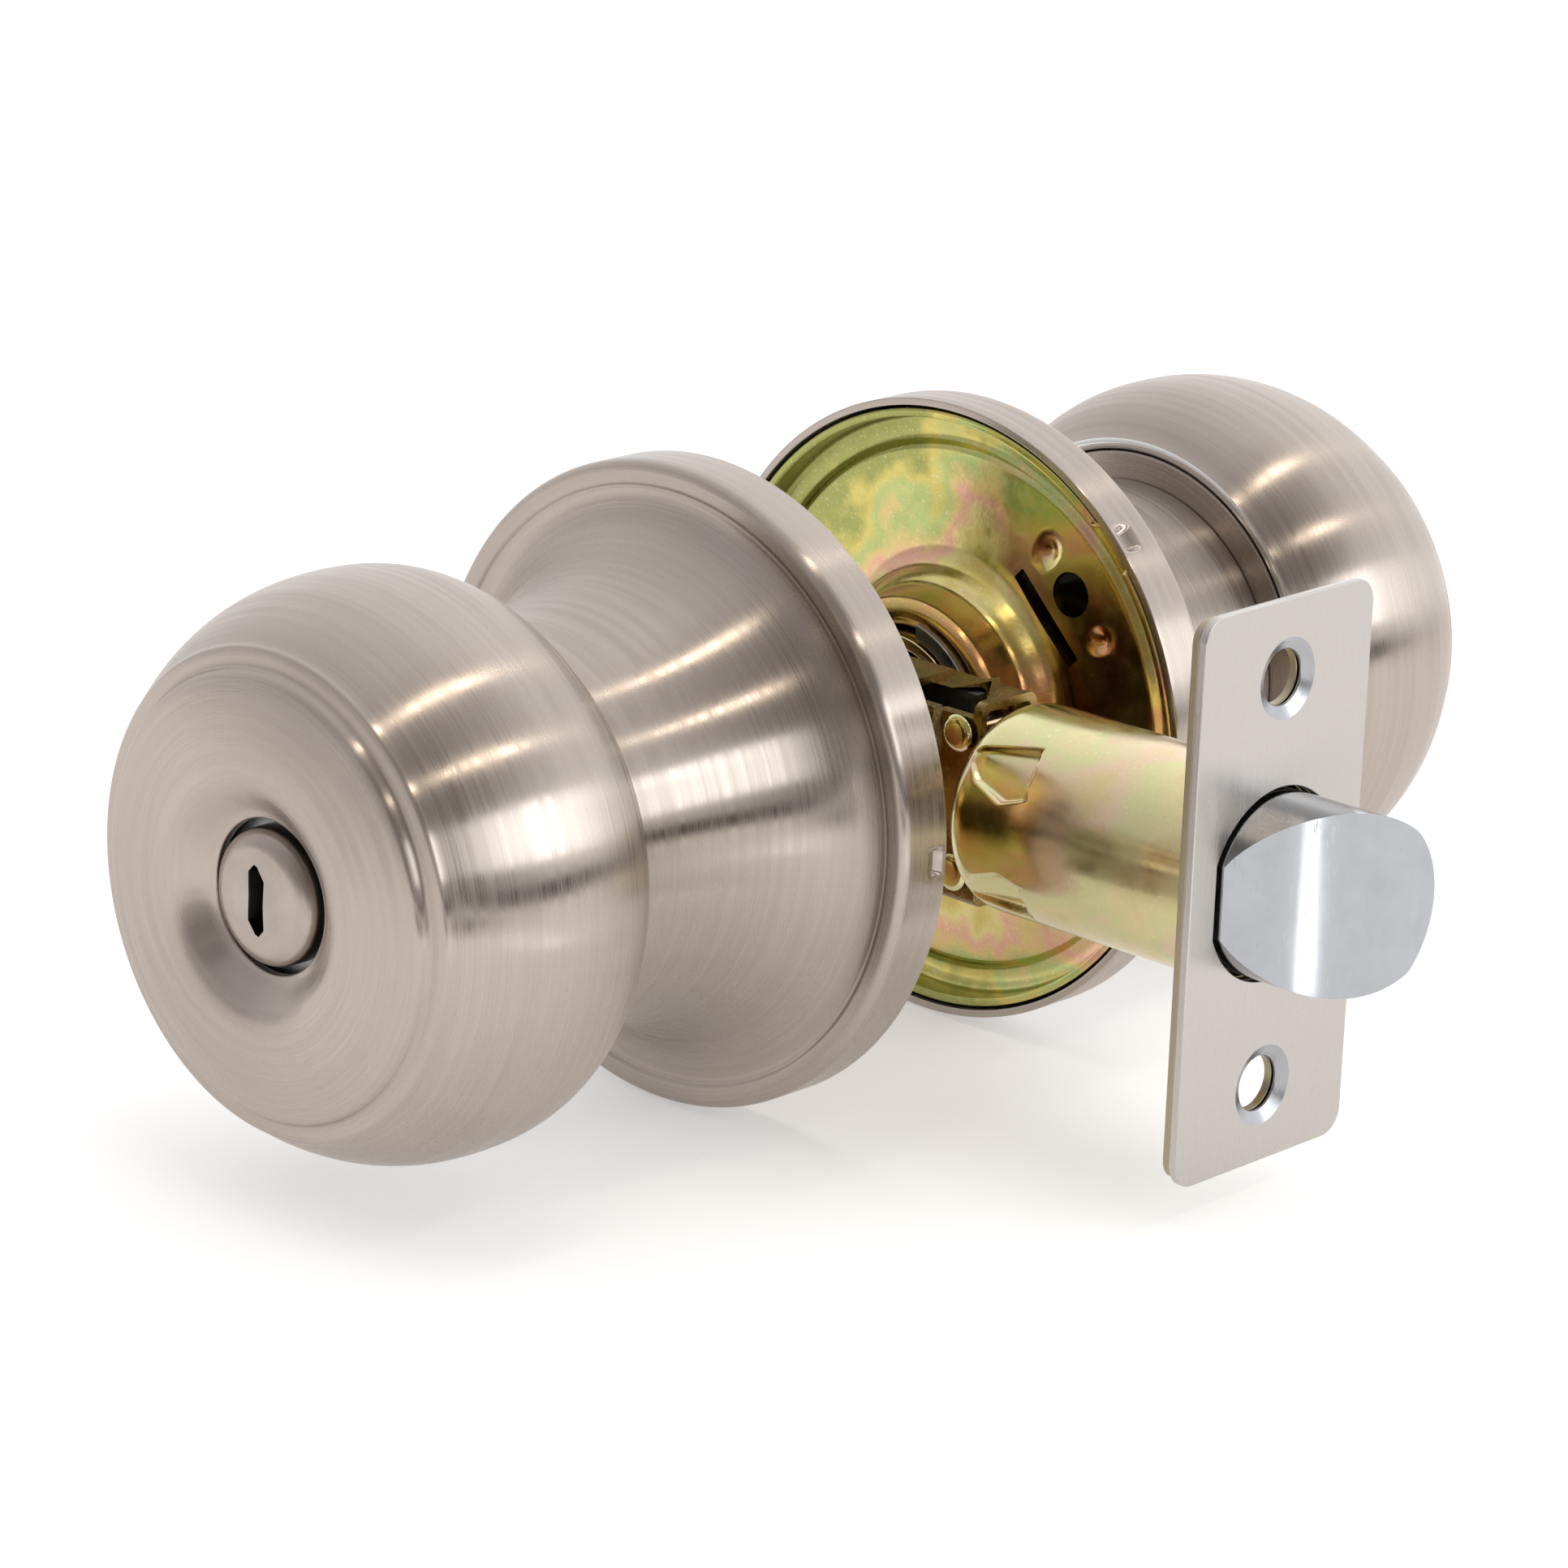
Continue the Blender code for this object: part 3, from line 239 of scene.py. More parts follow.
def grind(tree, shader, axis, anisotropic, rotation=0.0):
    """Draw the shine out, as fine scratches laid round or along an axis do."""
    tangent = add_node(tree, "ShaderNodeTangent", {"direction_type": "RADIAL", "axis": axis})
    tree.links.new(tangent.outputs[0], shader.inputs["Tangent"])
    shader.inputs["Anisotropic"].default_value = anisotropic
    shader.inputs["Anisotropic Rotation"].default_value = rotation


def axis_distance(tree, x, z):
    """Distance from the spindle's axis."""
    square = math_node(tree, "ADD", math_node(tree, "MULTIPLY", x, x), math_node(tree, "MULTIPLY", z, z))
    return math_node(tree, "SQRT", square)


def ring_coordinates(tree, vector, across, along):
    """Coordinates that are fine across the rings turned round Y, and slow along them."""
    x, y, z = split_axes(tree, vector)
    radius = axis_distance(tree, x, z)
    level = math_node(tree, "ADD", radius, math_node(tree, "MULTIPLY", y, 1.3))
    divisor = math_node(tree, "ADD", radius, 0.001)
    return add_node(tree, "ShaderNodeCombineXYZ", links={
        "X": math_node(tree, "MULTIPLY", level, across),
        "Y": math_node(tree, "MULTIPLY", math_node(tree, "DIVIDE", x, divisor), along),
        "Z": math_node(tree, "MULTIPLY", math_node(tree, "DIVIDE", z, divisor), along)}).outputs[0]


def satin_turned_stainless(name, colour, roughness=0.28):
    """Stainless sheet, spun on a lathe against grit: rings of fine scratches.

    The scratches run round the axis, so each lamp is drawn out into a band
    that runs from the face to the door, and the grain shows as fine rings.
    The grit marks are drawn 0.3 mm apart, coarser than real ones, to show.
    """
    material, tree, shader = new_material(name, colour, roughness)
    vector = object_place(tree)
    fine = noise_at(tree, ring_coordinates(tree, vector, 3.5, 1.1), 1.0, 2.0, 0.75)
    broad = noise_at(tree, ring_coordinates(tree, vector, 0.8, 0.7), 1.0, 1.0, 0.5)
    cloud = noise_at(tree, vector, 0.06, 2.0, 0.5)
    tint = mix_colour(tree, remap(tree, fine, 0.3, 0.7, 0.0, 1.0), *shades(colour, 0.91, 1.09))
    tint = mix_colour(tree, remap(tree, cloud, 0.35, 0.7, 0.0, 0.3), tint, [c * 0.86 for c in colour])
    grain = remap(tree, fine, 0.3, 0.7, roughness - 0.05, roughness + 0.05)
    uneven = math_node(tree, "ADD", remap(tree, broad, 0.3, 0.7, -0.035, 0.035), grain)
    lay_finish(tree, shader, tint, uneven, fine, strength=0.35, depth=0.0045)
    grind(tree, shader, "Y", anisotropic=0.97, rotation=0.25)
    return material


def drawn_stainless(name, colour, roughness=0.3):
    """Stainless strip, belt ground along its length: straight upright grain.

    The grain is drawn 0.2 mm apart and many times longer, which gives the
    plate a soft sheen with faint upright lines.
    """
    material, tree, shader = new_material(name, colour, roughness)
    x, y, z = split_axes(tree, object_place(tree))
    grain = add_node(tree, "ShaderNodeCombineXYZ", links={
        "X": math_node(tree, "MULTIPLY", x, 5.0), "Y": math_node(tree, "MULTIPLY", y, 5.0),
        "Z": math_node(tree, "MULTIPLY", z, 0.12)}).outputs[0]
    fine = noise_at(tree, grain, 1.0, 4.0, 0.65)
    tint = mix_colour(tree, remap(tree, fine, 0.3, 0.7, 0.0, 1.0), *shades(colour, 0.94, 1.05))
    uneven = remap(tree, fine, 0.3, 0.7, roughness - 0.06, roughness + 0.06)
    lay_finish(tree, shader, tint, uneven, fine, strength=0.25, depth=0.002)
    grind(tree, shader, "Z", anisotropic=0.85)
    return material


def yellow_chromate(name, ground, pattern, roughness=0.2):
    """Zinc plating passivated in yellow chromate: a thin film of shifting colour.

    The film's thickness wanders over some 10 mm, so gold goes to green, pink
    and back. On the plates it also follows the rings that they are pressed
    in. Fine dust marks break the shine.
    """
    material, tree, shader = new_material(name, ground, roughness)
    vector = object_place(tree)
    warp = noise_at(tree, vector, 0.07, 3.0, 0.5)
    small = noise_at(tree, vector, 0.35, 3.0, 0.6)
    if pattern == "plate":
        x, y, z = split_axes(tree, vector)
        rings = axis_distance(tree, x, z)
        film = weighted_sum(tree, -0.98, (rings, 0.034), (warp, 1.5), (small, 0.18), (x, -0.012))
    else:
        film = weighted_sum(tree, -0.25, (warp, 1.3), (small, 0.2))
    tint = colour_ramp(tree, film, FILM_COLOURS[pattern])
    speck = noise_at(tree, vector, 3.0, 2.0, 0.7)
    tint = mix_colour(tree, remap(tree, speck, 0.58, 0.78, 0.0, 0.5), tint, linear("E9E2C8"))
    uneven = remap(tree, small, 0.3, 0.7, roughness - 0.05, roughness + 0.08)
    grain = noise_at(tree, vector, 1.6, 4.0, 0.65)
    lay_finish(tree, shader, tint, uneven, grain, strength=0.35, depth=0.02)
    return material


def bright_plating(name, colour, roughness=0.13, wear=0.5):
    """Chromed die casting, tumbled: bright, slightly cloudy, with hair scratches.

    The cloudiness wanders over a few millimetres and the hair scratches are
    0.2 mm wide.
    """
    material, tree, shader = new_material(name, colour, roughness)
    vector = object_place(tree)
    cloud = noise_at(tree, vector, 0.3, 3.0, 0.6)
    stretched = add_node(tree, "ShaderNodeMapping", {"vector_type": "POINT"},
                         {"Rotation": (0.5, 0.3, 0.9), "Scale": (6.0, 0.5, 0.5)}, {"Vector": vector})
    hair = noise_at(tree, stretched.outputs[0], 1.0, 1.0, 0.5)
    scratch = remap(tree, hair, 0.66, 0.74, 0.0, wear)
    tint = mix_colour(tree, remap(tree, cloud, 0.35, 0.7, 0.0, 0.5), *shades(colour, 1.0, 0.86))
    uneven = math_node(tree, "ADD", remap(tree, cloud, 0.3, 0.7, roughness - 0.04, roughness + 0.06),
                       math_node(tree, "MULTIPLY", scratch, 0.35))
    height = math_node(tree, "SUBTRACT", cloud, scratch)
    lay_finish(tree, shader, tint, uneven, height, strength=0.25, depth=0.01)
    return material


def bead_blasted(name, colour, roughness=0.33):
    """Stainless plug, blasted with fine glass beads: an even grey without direction.

    The pits are drawn 0.3 mm apart, coarser than real ones, to show.
    """
    material, tree, shader = new_material(name, colour, roughness)
    vector = object_place(tree)
    pits = noise_at(tree, vector, 3.2, 3.0, 0.6)
    cloud = noise_at(tree, vector, 0.25, 2.0, 0.5)
    tint = mix_colour(tree, remap(tree, cloud, 0.35, 0.7, 0.0, 1.0), *shades(colour, 1.06, 0.9))
    uneven = remap(tree, pits, 0.3, 0.7, roughness - 0.06, roughness + 0.06)
    lay_finish(tree, shader, tint, uneven, pits, strength=0.2, depth=0.01)
    return material


def as_cast_zinc(name, colour, roughness=0.42):
    """Die cast zinc, left as cast: dull grey with a fine grainy skin."""
    material, tree, shader = new_material(name, colour, roughness)
    grain = noise_at(tree, object_place(tree), 1.4, 4.0, 0.65)
    tint = mix_colour(tree, grain, *shades(colour, 0.8, 1.15))
    uneven = remap(tree, grain, 0.3, 0.7, roughness - 0.08, roughness + 0.1)
    lay_finish(tree, shader, tint, uneven, grain, strength=0.4, depth=0.03)
    return material


MATERIALS = {}


def make_finishes(colours):
    """Make every finish once."""
    MATERIALS.update(
        satin=satin_turned_stainless("satin_turned_stainless", tuple(colours.stainless)),
        plug=bead_blasted("bead_blasted_plug", tuple(c * 0.92 for c in colours.stainless)),
        # Near black for the walls and floor of the coin slot: painted shade.
        recess=as_cast_zinc("oily_dark_recess", linear("1C1A19"), 0.5),
        strip=drawn_stainless("drawn_stainless_strip", tuple(colours.faceplate)),
        plate=yellow_chromate("yellow_chromate_plate", tuple(colours.chromate), "plate"),
        tube=yellow_chromate("yellow_chromate_tube", tuple(colours.chromate), "tube", 0.18),
        # The case takes half the chromate's ground colour and the dark stops: painted shade.
        case=yellow_chromate("case_chromate_painted_shade", tuple(c * 0.5 for c in colours.chromate), "case", 0.26),
        chrome=bright_plating("chromed_die_casting", tuple(colours.chrome)),
        worn=bright_plating("worn_bright_steel", linear("A4A5A8"), 0.24, 1.0),
        # The lip's cut edge: smoother than the satin, and far brighter in colour, which is a painted
        # highlight.
        edge=bright_plating("cut_edge_painted_highlight", linear("E4E2DE"), 0.1, 0.2),
        cast=as_cast_zinc("as_cast_zinc", linear("A5A5A6")),
        dull=as_cast_zinc("dull_zinc_plating", linear("A89C86"), 0.4),
        wire=bright_plating("spring_steel_wire", linear("8A8A8E"), 0.3, 0.6),
    )


# ---------------------------------------------------------------- mesh tools

def arc(centre, radius, start, end, steps):
    """Points on an arc between two angles in degrees."""
    points = []
    for step in range(steps + 1):
        angle = math.radians(start + (end - start) * step / steps)
        points.append((centre[0] + radius * math.cos(angle), centre[1] + radius * math.sin(angle)))
    return points


def circle(radius, centre=(0.0, 0.0), count=48):
    """Points round a full circle."""
    return arc(centre, radius, 0.0, 360.0 - 360.0 / count, count - 1)


def softened(corners, steps=4):
    """An outline of (radius, distance, fillet) corners with its corners rounded."""
    outline = []
    count = len(corners)
    for index, (u, v, fillet) in enumerate(corners):
        here = Vector((u, v))
        before = Vector(corners[index - 1][:2]) - here
        after = Vector(corners[(index + 1) % count][:2]) - here
        reach = min(fillet, before.length * 0.48, after.length * 0.48)
        if reach <= 0.001:
            outline.append((u, v))
            continue
        start = here + before.normalized() * reach
        end = here + after.normalized() * reach
        for step in range(steps + 1):
            t = step / steps
            point = start * (1 - t) ** 2 + here * 2 * t * (1 - t) + end * t ** 2
            outline.append((point.x, point.y))
    return outline


def spread(points, longest):
    """Split the long runs of an outline so that no step is over the longest."""
    outline = []
    for first, second in zip(points, points[1:] + points[:1]):
        run = math.dist(first, second)
        steps = max(1, math.ceil(run / longest))
        for step in range(steps):
            t = step / steps
            outline.append((first[0] + (second[0] - first[0]) * t, first[1] + (second[1] - first[1]) * t))
    return outline


def link_mesh(name, bm, material, sharp=35.0):
    """Link a mesh in millimetres as an object in metres, shaded smooth."""
    bmesh.ops.remove_doubles(bm, verts=bm.verts, dist=WELD)
    bmesh.ops.recalc_face_normals(bm, faces=bm.faces)
    bmesh.ops.scale(bm, verts=bm.verts, vec=(MM, MM, MM))
    mesh = bpy.data.meshes.new(name)
    bm.to_mesh(mesh)
    bm.free()
    mesh.shade_smooth()
    mesh.set_sharp_from_angle(angle=math.radians(sharp))
    thing = bpy.data.objects.new(name, mesh)
    bpy.context.scene.collection.objects.link(thing)
    if material:
        mesh.materials.append(MATERIALS[material])
    return thing


def even_angles(count, closer=()):
    """Angles round a turn, with closer ones within each (centre, half width, step), all in degrees."""
    angles = [360.0 * step / count for step in range(count)]
    for centre, half, step in closer:
        angles = [a for a in angles if abs((a - centre + 180) % 360 - 180) > half]
        extra = int(2 * half / step)
        angles += [(centre - half + 2 * half * i / extra) % 360 for i in range(extra + 1)]
    return sorted(set(round(a, 4) for a in angles))


def turned_mesh(outline, angles, axis="Y", side=1.0, change=None):
    """A closed outline of (radius, distance) turned round an axis.

    Angles run from +X towards +Z for axis Y, and from -Y towards +Z for axis X.
    change(radius, distance, angle) may move a point within its own half plane.
    """
    bm = bmesh.new()
    rows = []
    for degrees in angles:
        cosine = math.cos(math.radians(degrees))
        sine = math.sin(math.radians(degrees))
        row = []
        for radius, distance in outline:
            if change:
                radius, distance = change(radius, distance, degrees)
            if axis == "Y":
                point = (radius * cosine, side * distance, radius * sine)
            else:
                point = (distance, -radius * cosine, radius * sine)
            row.append(bm.verts.new(point))
        rows.append(row)
    count = len(outline)
    for row, after in zip(rows, rows[1:] + rows[:1]):
        for i in range(count):
            j = (i + 1) % count
            if outline[i][0] < 1e-6 and outline[j][0] < 1e-6:
                continue
            bm.faces.new((row[i], row[j], after[j], after[i]))
    return bm


def turned(name, outline, angles, material, axis="Y", side=1.0, change=None, sharp=35.0):
    """A turned piece as an object."""
    return link_mesh(name, turned_mesh(outline, angles, axis, side, change), material, sharp)


def drawn_out(outline, low, high, axis="X"):
    """A flat outline drawn out along X (outline in Y, Z) or Y (in X, Z) or Z (in X, Y)."""
    bm = bmesh.new()
    order = {
        "X": lambda u, v, w: (w, u, v),
        "Y": lambda u, v, w: (u, w, v),
        "Z": lambda u, v, w: (u, v, w),
    }[axis]
    bottom = [bm.verts.new(order(u, v, low)) for u, v in outline]
    top = [bm.verts.new(order(u, v, high)) for u, v in outline]
    bm.faces.new(bottom)
    bm.faces.new(top)
    for i in range(len(outline)):
        j = (i + 1) % len(outline)
        bm.faces.new((bottom[i], bottom[j], top[j], top[i]))
    return bm


def box_mesh(low, high):
    """A box between two corners."""
    outline = [(low[0], low[1]), (high[0], low[1]), (high[0], high[1]), (low[0], high[1])]
    return drawn_out(outline, low[2], high[2], "Z")


def carve(thing, tools, operation="DIFFERENCE"):
    """Cut each tool mesh from a piece, or join it, and keep the result."""
    for bm in tools:
        tool = link_mesh("tool", bm, None)
        modifier = thing.modifiers.new("cut", "BOOLEAN")
        modifier.operation = operation
        modifier.solver = "EXACT"
        modifier.object = tool
        bake_modifiers(thing)
        bpy.data.objects.remove(tool, do_unlink=True)
    return thing


def bake_modifiers(thing):
    """Turn a piece's modifiers into its mesh."""
    graph = bpy.context.evaluated_depsgraph_get()
    mesh = bpy.data.meshes.new_from_object(thing.evaluated_get(graph))
    thing.modifiers.clear()
    thing.data = mesh


def round_edges(thing, width, segments=3, angle=30.0):
    """Round a piece's sharp edges, in millimetres, and smooth its shading."""
    modifier = thing.modifiers.new("edges", "BEVEL")
    modifier.width = width * MM
    modifier.segments = segments
    modifier.limit_method = "ANGLE"
    modifier.angle_limit = math.radians(angle)
    modifier.harden_normals = True
    modifier.use_clamp_overlap = True
    return thing


def clean(thing, sharp=35.0):
    """Weld a carved piece and shade it smooth up to an angle."""
    bm = bmesh.new()
    bm.from_mesh(thing.data)
    bmesh.ops.remove_doubles(bm, verts=bm.verts, dist=WELD * MM)
    bmesh.ops.dissolve_degenerate(bm, edges=bm.edges, dist=WELD / 2 * MM)
    bm.to_mesh(thing.data)
    bm.free()
    thing.data.shade_smooth()
    thing.data.set_sharp_from_angle(angle=math.radians(sharp))
    return thing


def coil_mesh(radius, wire, turns, start, end, axis, side=1.0):
    """A round wire wound round an axis."""
    bm = bmesh.new()
    per_turn, around = 64, 12       # stations along each turn, facets round the wire
    steps = int(turns * per_turn)
    loops = []
    for step in range(steps + 1):
        angle = 2 * math.pi * step / per_turn
        distance = start + wire / 2 + (end - start - wire) * step / steps
        loop = []
        for facet in range(around):
            turn = 2 * math.pi * facet / around
            r = radius + wire / 2 * math.cos(turn)
            d = distance + wire / 2 * math.sin(turn)
            if axis == "Y":
                point = (r * math.cos(angle), side * d, r * math.sin(angle))
            else:
                point = (d, r * math.cos(angle), r * math.sin(angle))
            loop.append(bm.verts.new(point))
        loops.append(loop)
    for first, second in zip(loops, loops[1:]):
        for facet in range(around):
            after = (facet + 1) % around
            bm.faces.new((first[facet], first[after], second[after], second[facet]))
    bm.faces.new(loops[0])
    bm.faces.new(loops[-1])
    return bm


def smooth_step(value):
    """Ease from 0 to 1."""
    value = max(0.0, min(1.0, value))
    return value * value * (3 - 2 * value)


def pocket(across, along, half_across, half_along, edge):
    """How deep inside a pressed pocket a point lies, from 0 outside to 1 on its floor."""
    return smooth_step((half_across - abs(across)) / edge) * smooth_step((half_along - abs(along)) / edge)


def angle_between(first, second):
    """Signed angle in degrees from the second to the first."""
    return (first - second + 180) % 360 - 180


def rounded_outline(width, height, corner, steps=10):
    """A rectangle with round corners, centred on zero."""
    across = width / 2 - corner
    up = height / 2 - corner
    points = []
    for turn, (u, v) in enumerate(((across, up), (-across, up), (-across, -up), (across, -up))):
        points += arc((u, v), corner, 90.0 * turn, 90.0 * turn + 90.0, steps)
    return points


def flat_sided(radius, flat, steps=72):
    """A circle with one flat side towards -u."""
    edge = math.degrees(math.acos(-flat / radius))
    return arc((0.0, 0.0), radius, -edge, edge, steps)


def two_flats(radius, flat, steps=24):
    """A circle with a flat above and below."""
    edge = math.degrees(math.asin(flat / radius))
    right = arc((0.0, 0.0), radius, -edge, edge, steps)
    left = arc((0.0, 0.0), radius, 180 - edge, 180 + edge, steps)
    return right + left


# ---------------------------------------------------------------- knobs and roses

# Knob, with distances from the middle of the door
NECK_END = HALF_DOOR + 31.4
BALL_CENTRE = NECK_END + 12.15
BALL_FACE = BALL_CENTRE + 14.5
BALL_FRONT = (24.0, 2.1)    # reach and roundness of the half towards the face
BALL_BACK = (16.7, 2.6)     # reach and roundness of the half towards the door
STEP_HEIGHT = 1.5
FACE_RISE = 1.25
DISH_DEPTH = 2.65
DISH_RADIUS = 12.7
DISH_FLOOR = BALL_FACE + STEP_HEIGHT + FACE_RISE - DISH_DEPTH
FACE_HOLE_RADIUS = 7.57
LIP_RADIUS = 23.6
CUT_EDGE_HIGHLIGHT = 0.3              # how much of the lip is the sheet's cut edge, coloured bright as a painted highlight
KNOB_SHEET = 0.9

# Plate that closes the back of the ball, with a collar on the shank
BACK_START = NECK_END + 0.2
BACK_SHEET = 1.0
BACK_BORE_RADIUS = 4.9
COLLAR_RADIUS = 8.2
COLLAR_LENGTH = 9.5

# Rose, and the pocket pressed in its side wall
ROSE_SHEET = 0.8
RIM_DEPTH = 6.1
RIM_ROUNDING = 1.1
RIM_FACE_WIDTH = 2.9
CREASE_DEPTH = 0.35
DENT_ANGLES = {"exterior": -1.0, "interior": 45.0}
DENT_RISE = 1.6             # door to the middle of the pocket
DENT_DEPTH = 0.7
DENT_HALF_WIDTH = 1.15
DENT_HALF_LENGTH = 1.75
DENT_SLOPE = 0.85


def ball_point(distance, ball_radius, shrink=0.0):
    """Radius of the ball at a distance from the middle of the door."""
    reach, power = BALL_FRONT if distance > BALL_CENTRE else BALL_BACK
    share = min(abs(distance - BALL_CENTRE) / (reach - shrink), 1.0)
    return (ball_radius - shrink) * (1.0 - share ** power) ** (1.0 / power)


def ball_line(start, end, steps, ball_radius, shrink=0.0):
    """Points down the side of the ball."""
    points = []
    for step in range(steps + 1):
        distance = start + (end - start) * step / steps
        points.append((ball_point(distance, ball_radius, shrink), distance, 0.0))
    return points


def knob_outline(ball_radius):
    """Section of the ball's sheet, with its stepped edge and dished face."""
    hole = FACE_HOLE_RADIUS
    dish = [(hole, DISH_FLOOR - KNOB_SHEET, 0.1), (hole, DISH_FLOOR, 0.25)]
    for step in range(1, 9):
        share = step / 9
        rise = DISH_DEPTH * (0.5 - 0.5 * math.cos(math.pi * share ** 0.8))
        dish.append((hole + (DISH_RADIUS - hole) * share, DISH_FLOOR + rise, 0.0))
    face = [
        (13.4, DISH_FLOOR + 2.66, 0.0), (15.5, BALL_FACE + 2.55, 0.0), (18.4, BALL_FACE + 2.1, 0.0),
        (20.4, BALL_FACE + 1.66, 0.0), (21.7, BALL_FACE + 1.25, 0.55), (22.15, BALL_FACE + 0.2, 0.45),
        (23.2, BALL_FACE + 0.12, 0.3), (23.95, BALL_FACE - 0.1, 0.4),
    ]
    side = ball_line(BALL_FACE - 0.7, NECK_END + 1.0, 56, ball_radius)
    lip = [(LIP_RADIUS + 0.25, NECK_END + 0.15, 0.2), (LIP_RADIUS - 0.35, NECK_END, 0.3),
           (LIP_RADIUS - KNOB_SHEET, NECK_END + 0.5, 0.2)]
    inside = ball_line(NECK_END + 2.4, BALL_FACE - 1.6, 20, ball_radius, KNOB_SHEET)
    roof = [(20.8, BALL_FACE + 0.4, 0.4), (12.5, BALL_FACE + 1.5, 0.8)]
    return softened(dish + face + side + lip + inside + roof)


def trumpet(foot, start, neck, steps):
    """Points up the quarter wave of the trumpet, from its foot to its narrow end."""
    points = []
    for step in range(steps + 1):
        angle = math.pi / 2 * step / steps
        distance = start + (NECK_END - start) * (1 - math.cos(angle))
        points.append((foot - neck * math.sin(angle), distance, 0.0))
    return points


def rose_outline(rose_radius, neck_radius):
    """Section of the rose: side wall, rounded rim, pressed crease and trumpet."""
    rim = HALF_DOOR + RIM_DEPTH
    foot = rose_radius - RIM_FACE_WIDTH
    crease = rim - CREASE_DEPTH
    under = crease - ROSE_SHEET
    corner = arc((rose_radius - RIM_ROUNDING, rim - RIM_ROUNDING), RIM_ROUNDING, 0.0, 90.0, 10)
    outside = [(rose_radius, HALF_DOOR, 0.15)] + [(r, d, 0.0) for r, d in corner]
    outside += [(foot + 0.7, rim - 0.02, 0.25), (foot + 0.3, rim - 0.33, 0.2), (foot, rim - 0.27, 0.15)]
    outside += trumpet(foot, crease, foot - neck_radius, 60)[1:]
    inside = trumpet(foot - ROSE_SHEET, under, foot - neck_radius, 25)[::-1]
    wall = [(rose_radius - ROSE_SHEET, under, 0.6), (rose_radius - ROSE_SHEET, HALF_DOOR, 0.15)]
    return softened(outside + inside + wall)


def rose_dent(rose_radius, dent_angle):
    """Press the small pocket that locks the rose to its plate into the side wall."""
    def change(radius, distance, degrees):
        if radius < rose_radius - 1.0 or distance > HALF_DOOR + 4.5:
            return radius, distance
        along = math.radians(angle_between(degrees, dent_angle)) * rose_radius
        across = distance - HALF_DOOR - DENT_RISE
        share = pocket(across, along, DENT_HALF_WIDTH, DENT_HALF_LENGTH, DENT_SLOPE)
        return radius - DENT_DEPTH * share, distance
    return change


# ---------------------------------------------------------------- mounting plates

SCREW_ANGLES = (45.0, 225.0)
SCREW_CIRCLE_RADIUS = 21.9
SCREW_HOLE_RADIUS = 2.4
SLOT_CIRCLE_RADIUS = 17.4
SLOT_WIDTH = 1.6
SLOT_LENGTH = 11.4
DIMPLE_ANGLES = (30.4, 58.3, 210.4, 238.3)
DIMPLE_CIRCLE_RADIUS = 22.8
DIMPLE_RADIUS = 1.9
DIMPLE_SLOPE = 1.7
DIMPLE_DEPTH = 0.9
NOTCH_HALF_WIDTH = 3.0
NOTCH_SLOPE = 0.5
NOTCH_DEPTH = 1.1
POST_SEAT = -(HALF_DOOR + 2.45)
POST_END = POST_SEAT + 9.0
POST_RADIUS = 3.2
POST_BORE_RADIUS = 1.5
POST_FOOT_RADIUS = 2.1
THREAD_PITCH = 0.8
THREAD_DEPTH = 0.45


def plate_outline():
    """Section of the dished plate, door side first, then its knob side."""
    base = HALF_DOOR
    outline = [
        (31.15, base + 0.2, 0.35), (31.0, base + 3.1, 1.0), (29.6, base + 3.5, 0.9), (28.5, base + 3.45, 0.7),
        (27.7, base + 2.75, 0.8), (16.9, base + 2.75, 0.9), (15.4, base + 1.9, 0.5), (14.4, base + 0.35, 0.6),
        (13.6, base - 0.5, 0.7), (12.95, base - 4.4, 0.9), (12.1, base - 5.2, 0.7), (10.9, base - 5.15, 0.5),
        (9.95, base - 4.5, 0.3), (9.9, base - 3.5, 0.2), (11.9, base - 3.5, 0.6), (12.6, base - 0.1, 0.8),
        (14.7, base + 3.75, 1.0), (27.9, base + 3.75, 0.8), (28.6, base + 4.5, 0.7), (31.3, base + 4.5, 0.9),
        (32.1, base + 3.5, 0.9), (32.1, base + 0.2, 0.35),
    ]
    return spread(softened(outline, 6), 0.8)


def plate_presses(radius, distance, degrees):
    """The dimples beside each screw hole and the notch in the rim for the rose's pocket."""
    for dimple_angle in DIMPLE_ANGLES:
        along = math.radians(angle_between(degrees, dimple_angle)) * radius
        off = math.hypot(along, radius - DIMPLE_CIRCLE_RADIUS)
        distance += DIMPLE_DEPTH * smooth_step((DIMPLE_RADIUS - off) / DIMPLE_SLOPE)
    for screw_angle in SCREW_ANGLES:
        if radius > 30.2:
            along = math.radians(angle_between(degrees, screw_angle)) * radius
            low = smooth_step((NOTCH_HALF_WIDTH - abs(along)) / NOTCH_SLOPE)
            distance += NOTCH_DEPTH * low * smooth_step((HALF_DOOR + 2.5 - distance) / 1.5)
    return radius, distance


def plate_cutters(side):
    """Screw holes and slots on the diagonal of a plate."""
    tools = []
    low, high = sorted((side * (HALF_DOOR - 1), side * (HALF_DOOR + 8)))
    for degrees in SCREW_ANGLES:
        turn = Matrix.Rotation(-math.radians(degrees), 4, "Y")
        hole = drawn_out(circle(SCREW_HOLE_RADIUS, (SCREW_CIRCLE_RADIUS, 0.0)), low, high, "Y")
        slot_outline = rounded_outline(SLOT_WIDTH, SLOT_LENGTH, 0.2, 3)
        slot = drawn_out([(u + SLOT_CIRCLE_RADIUS, v) for u, v in slot_outline], low, high, "Y")
        for tool in (hole, slot):
            bmesh.ops.transform(tool, verts=tool.verts, matrix=turn)
            tools.append(tool)
    return tools


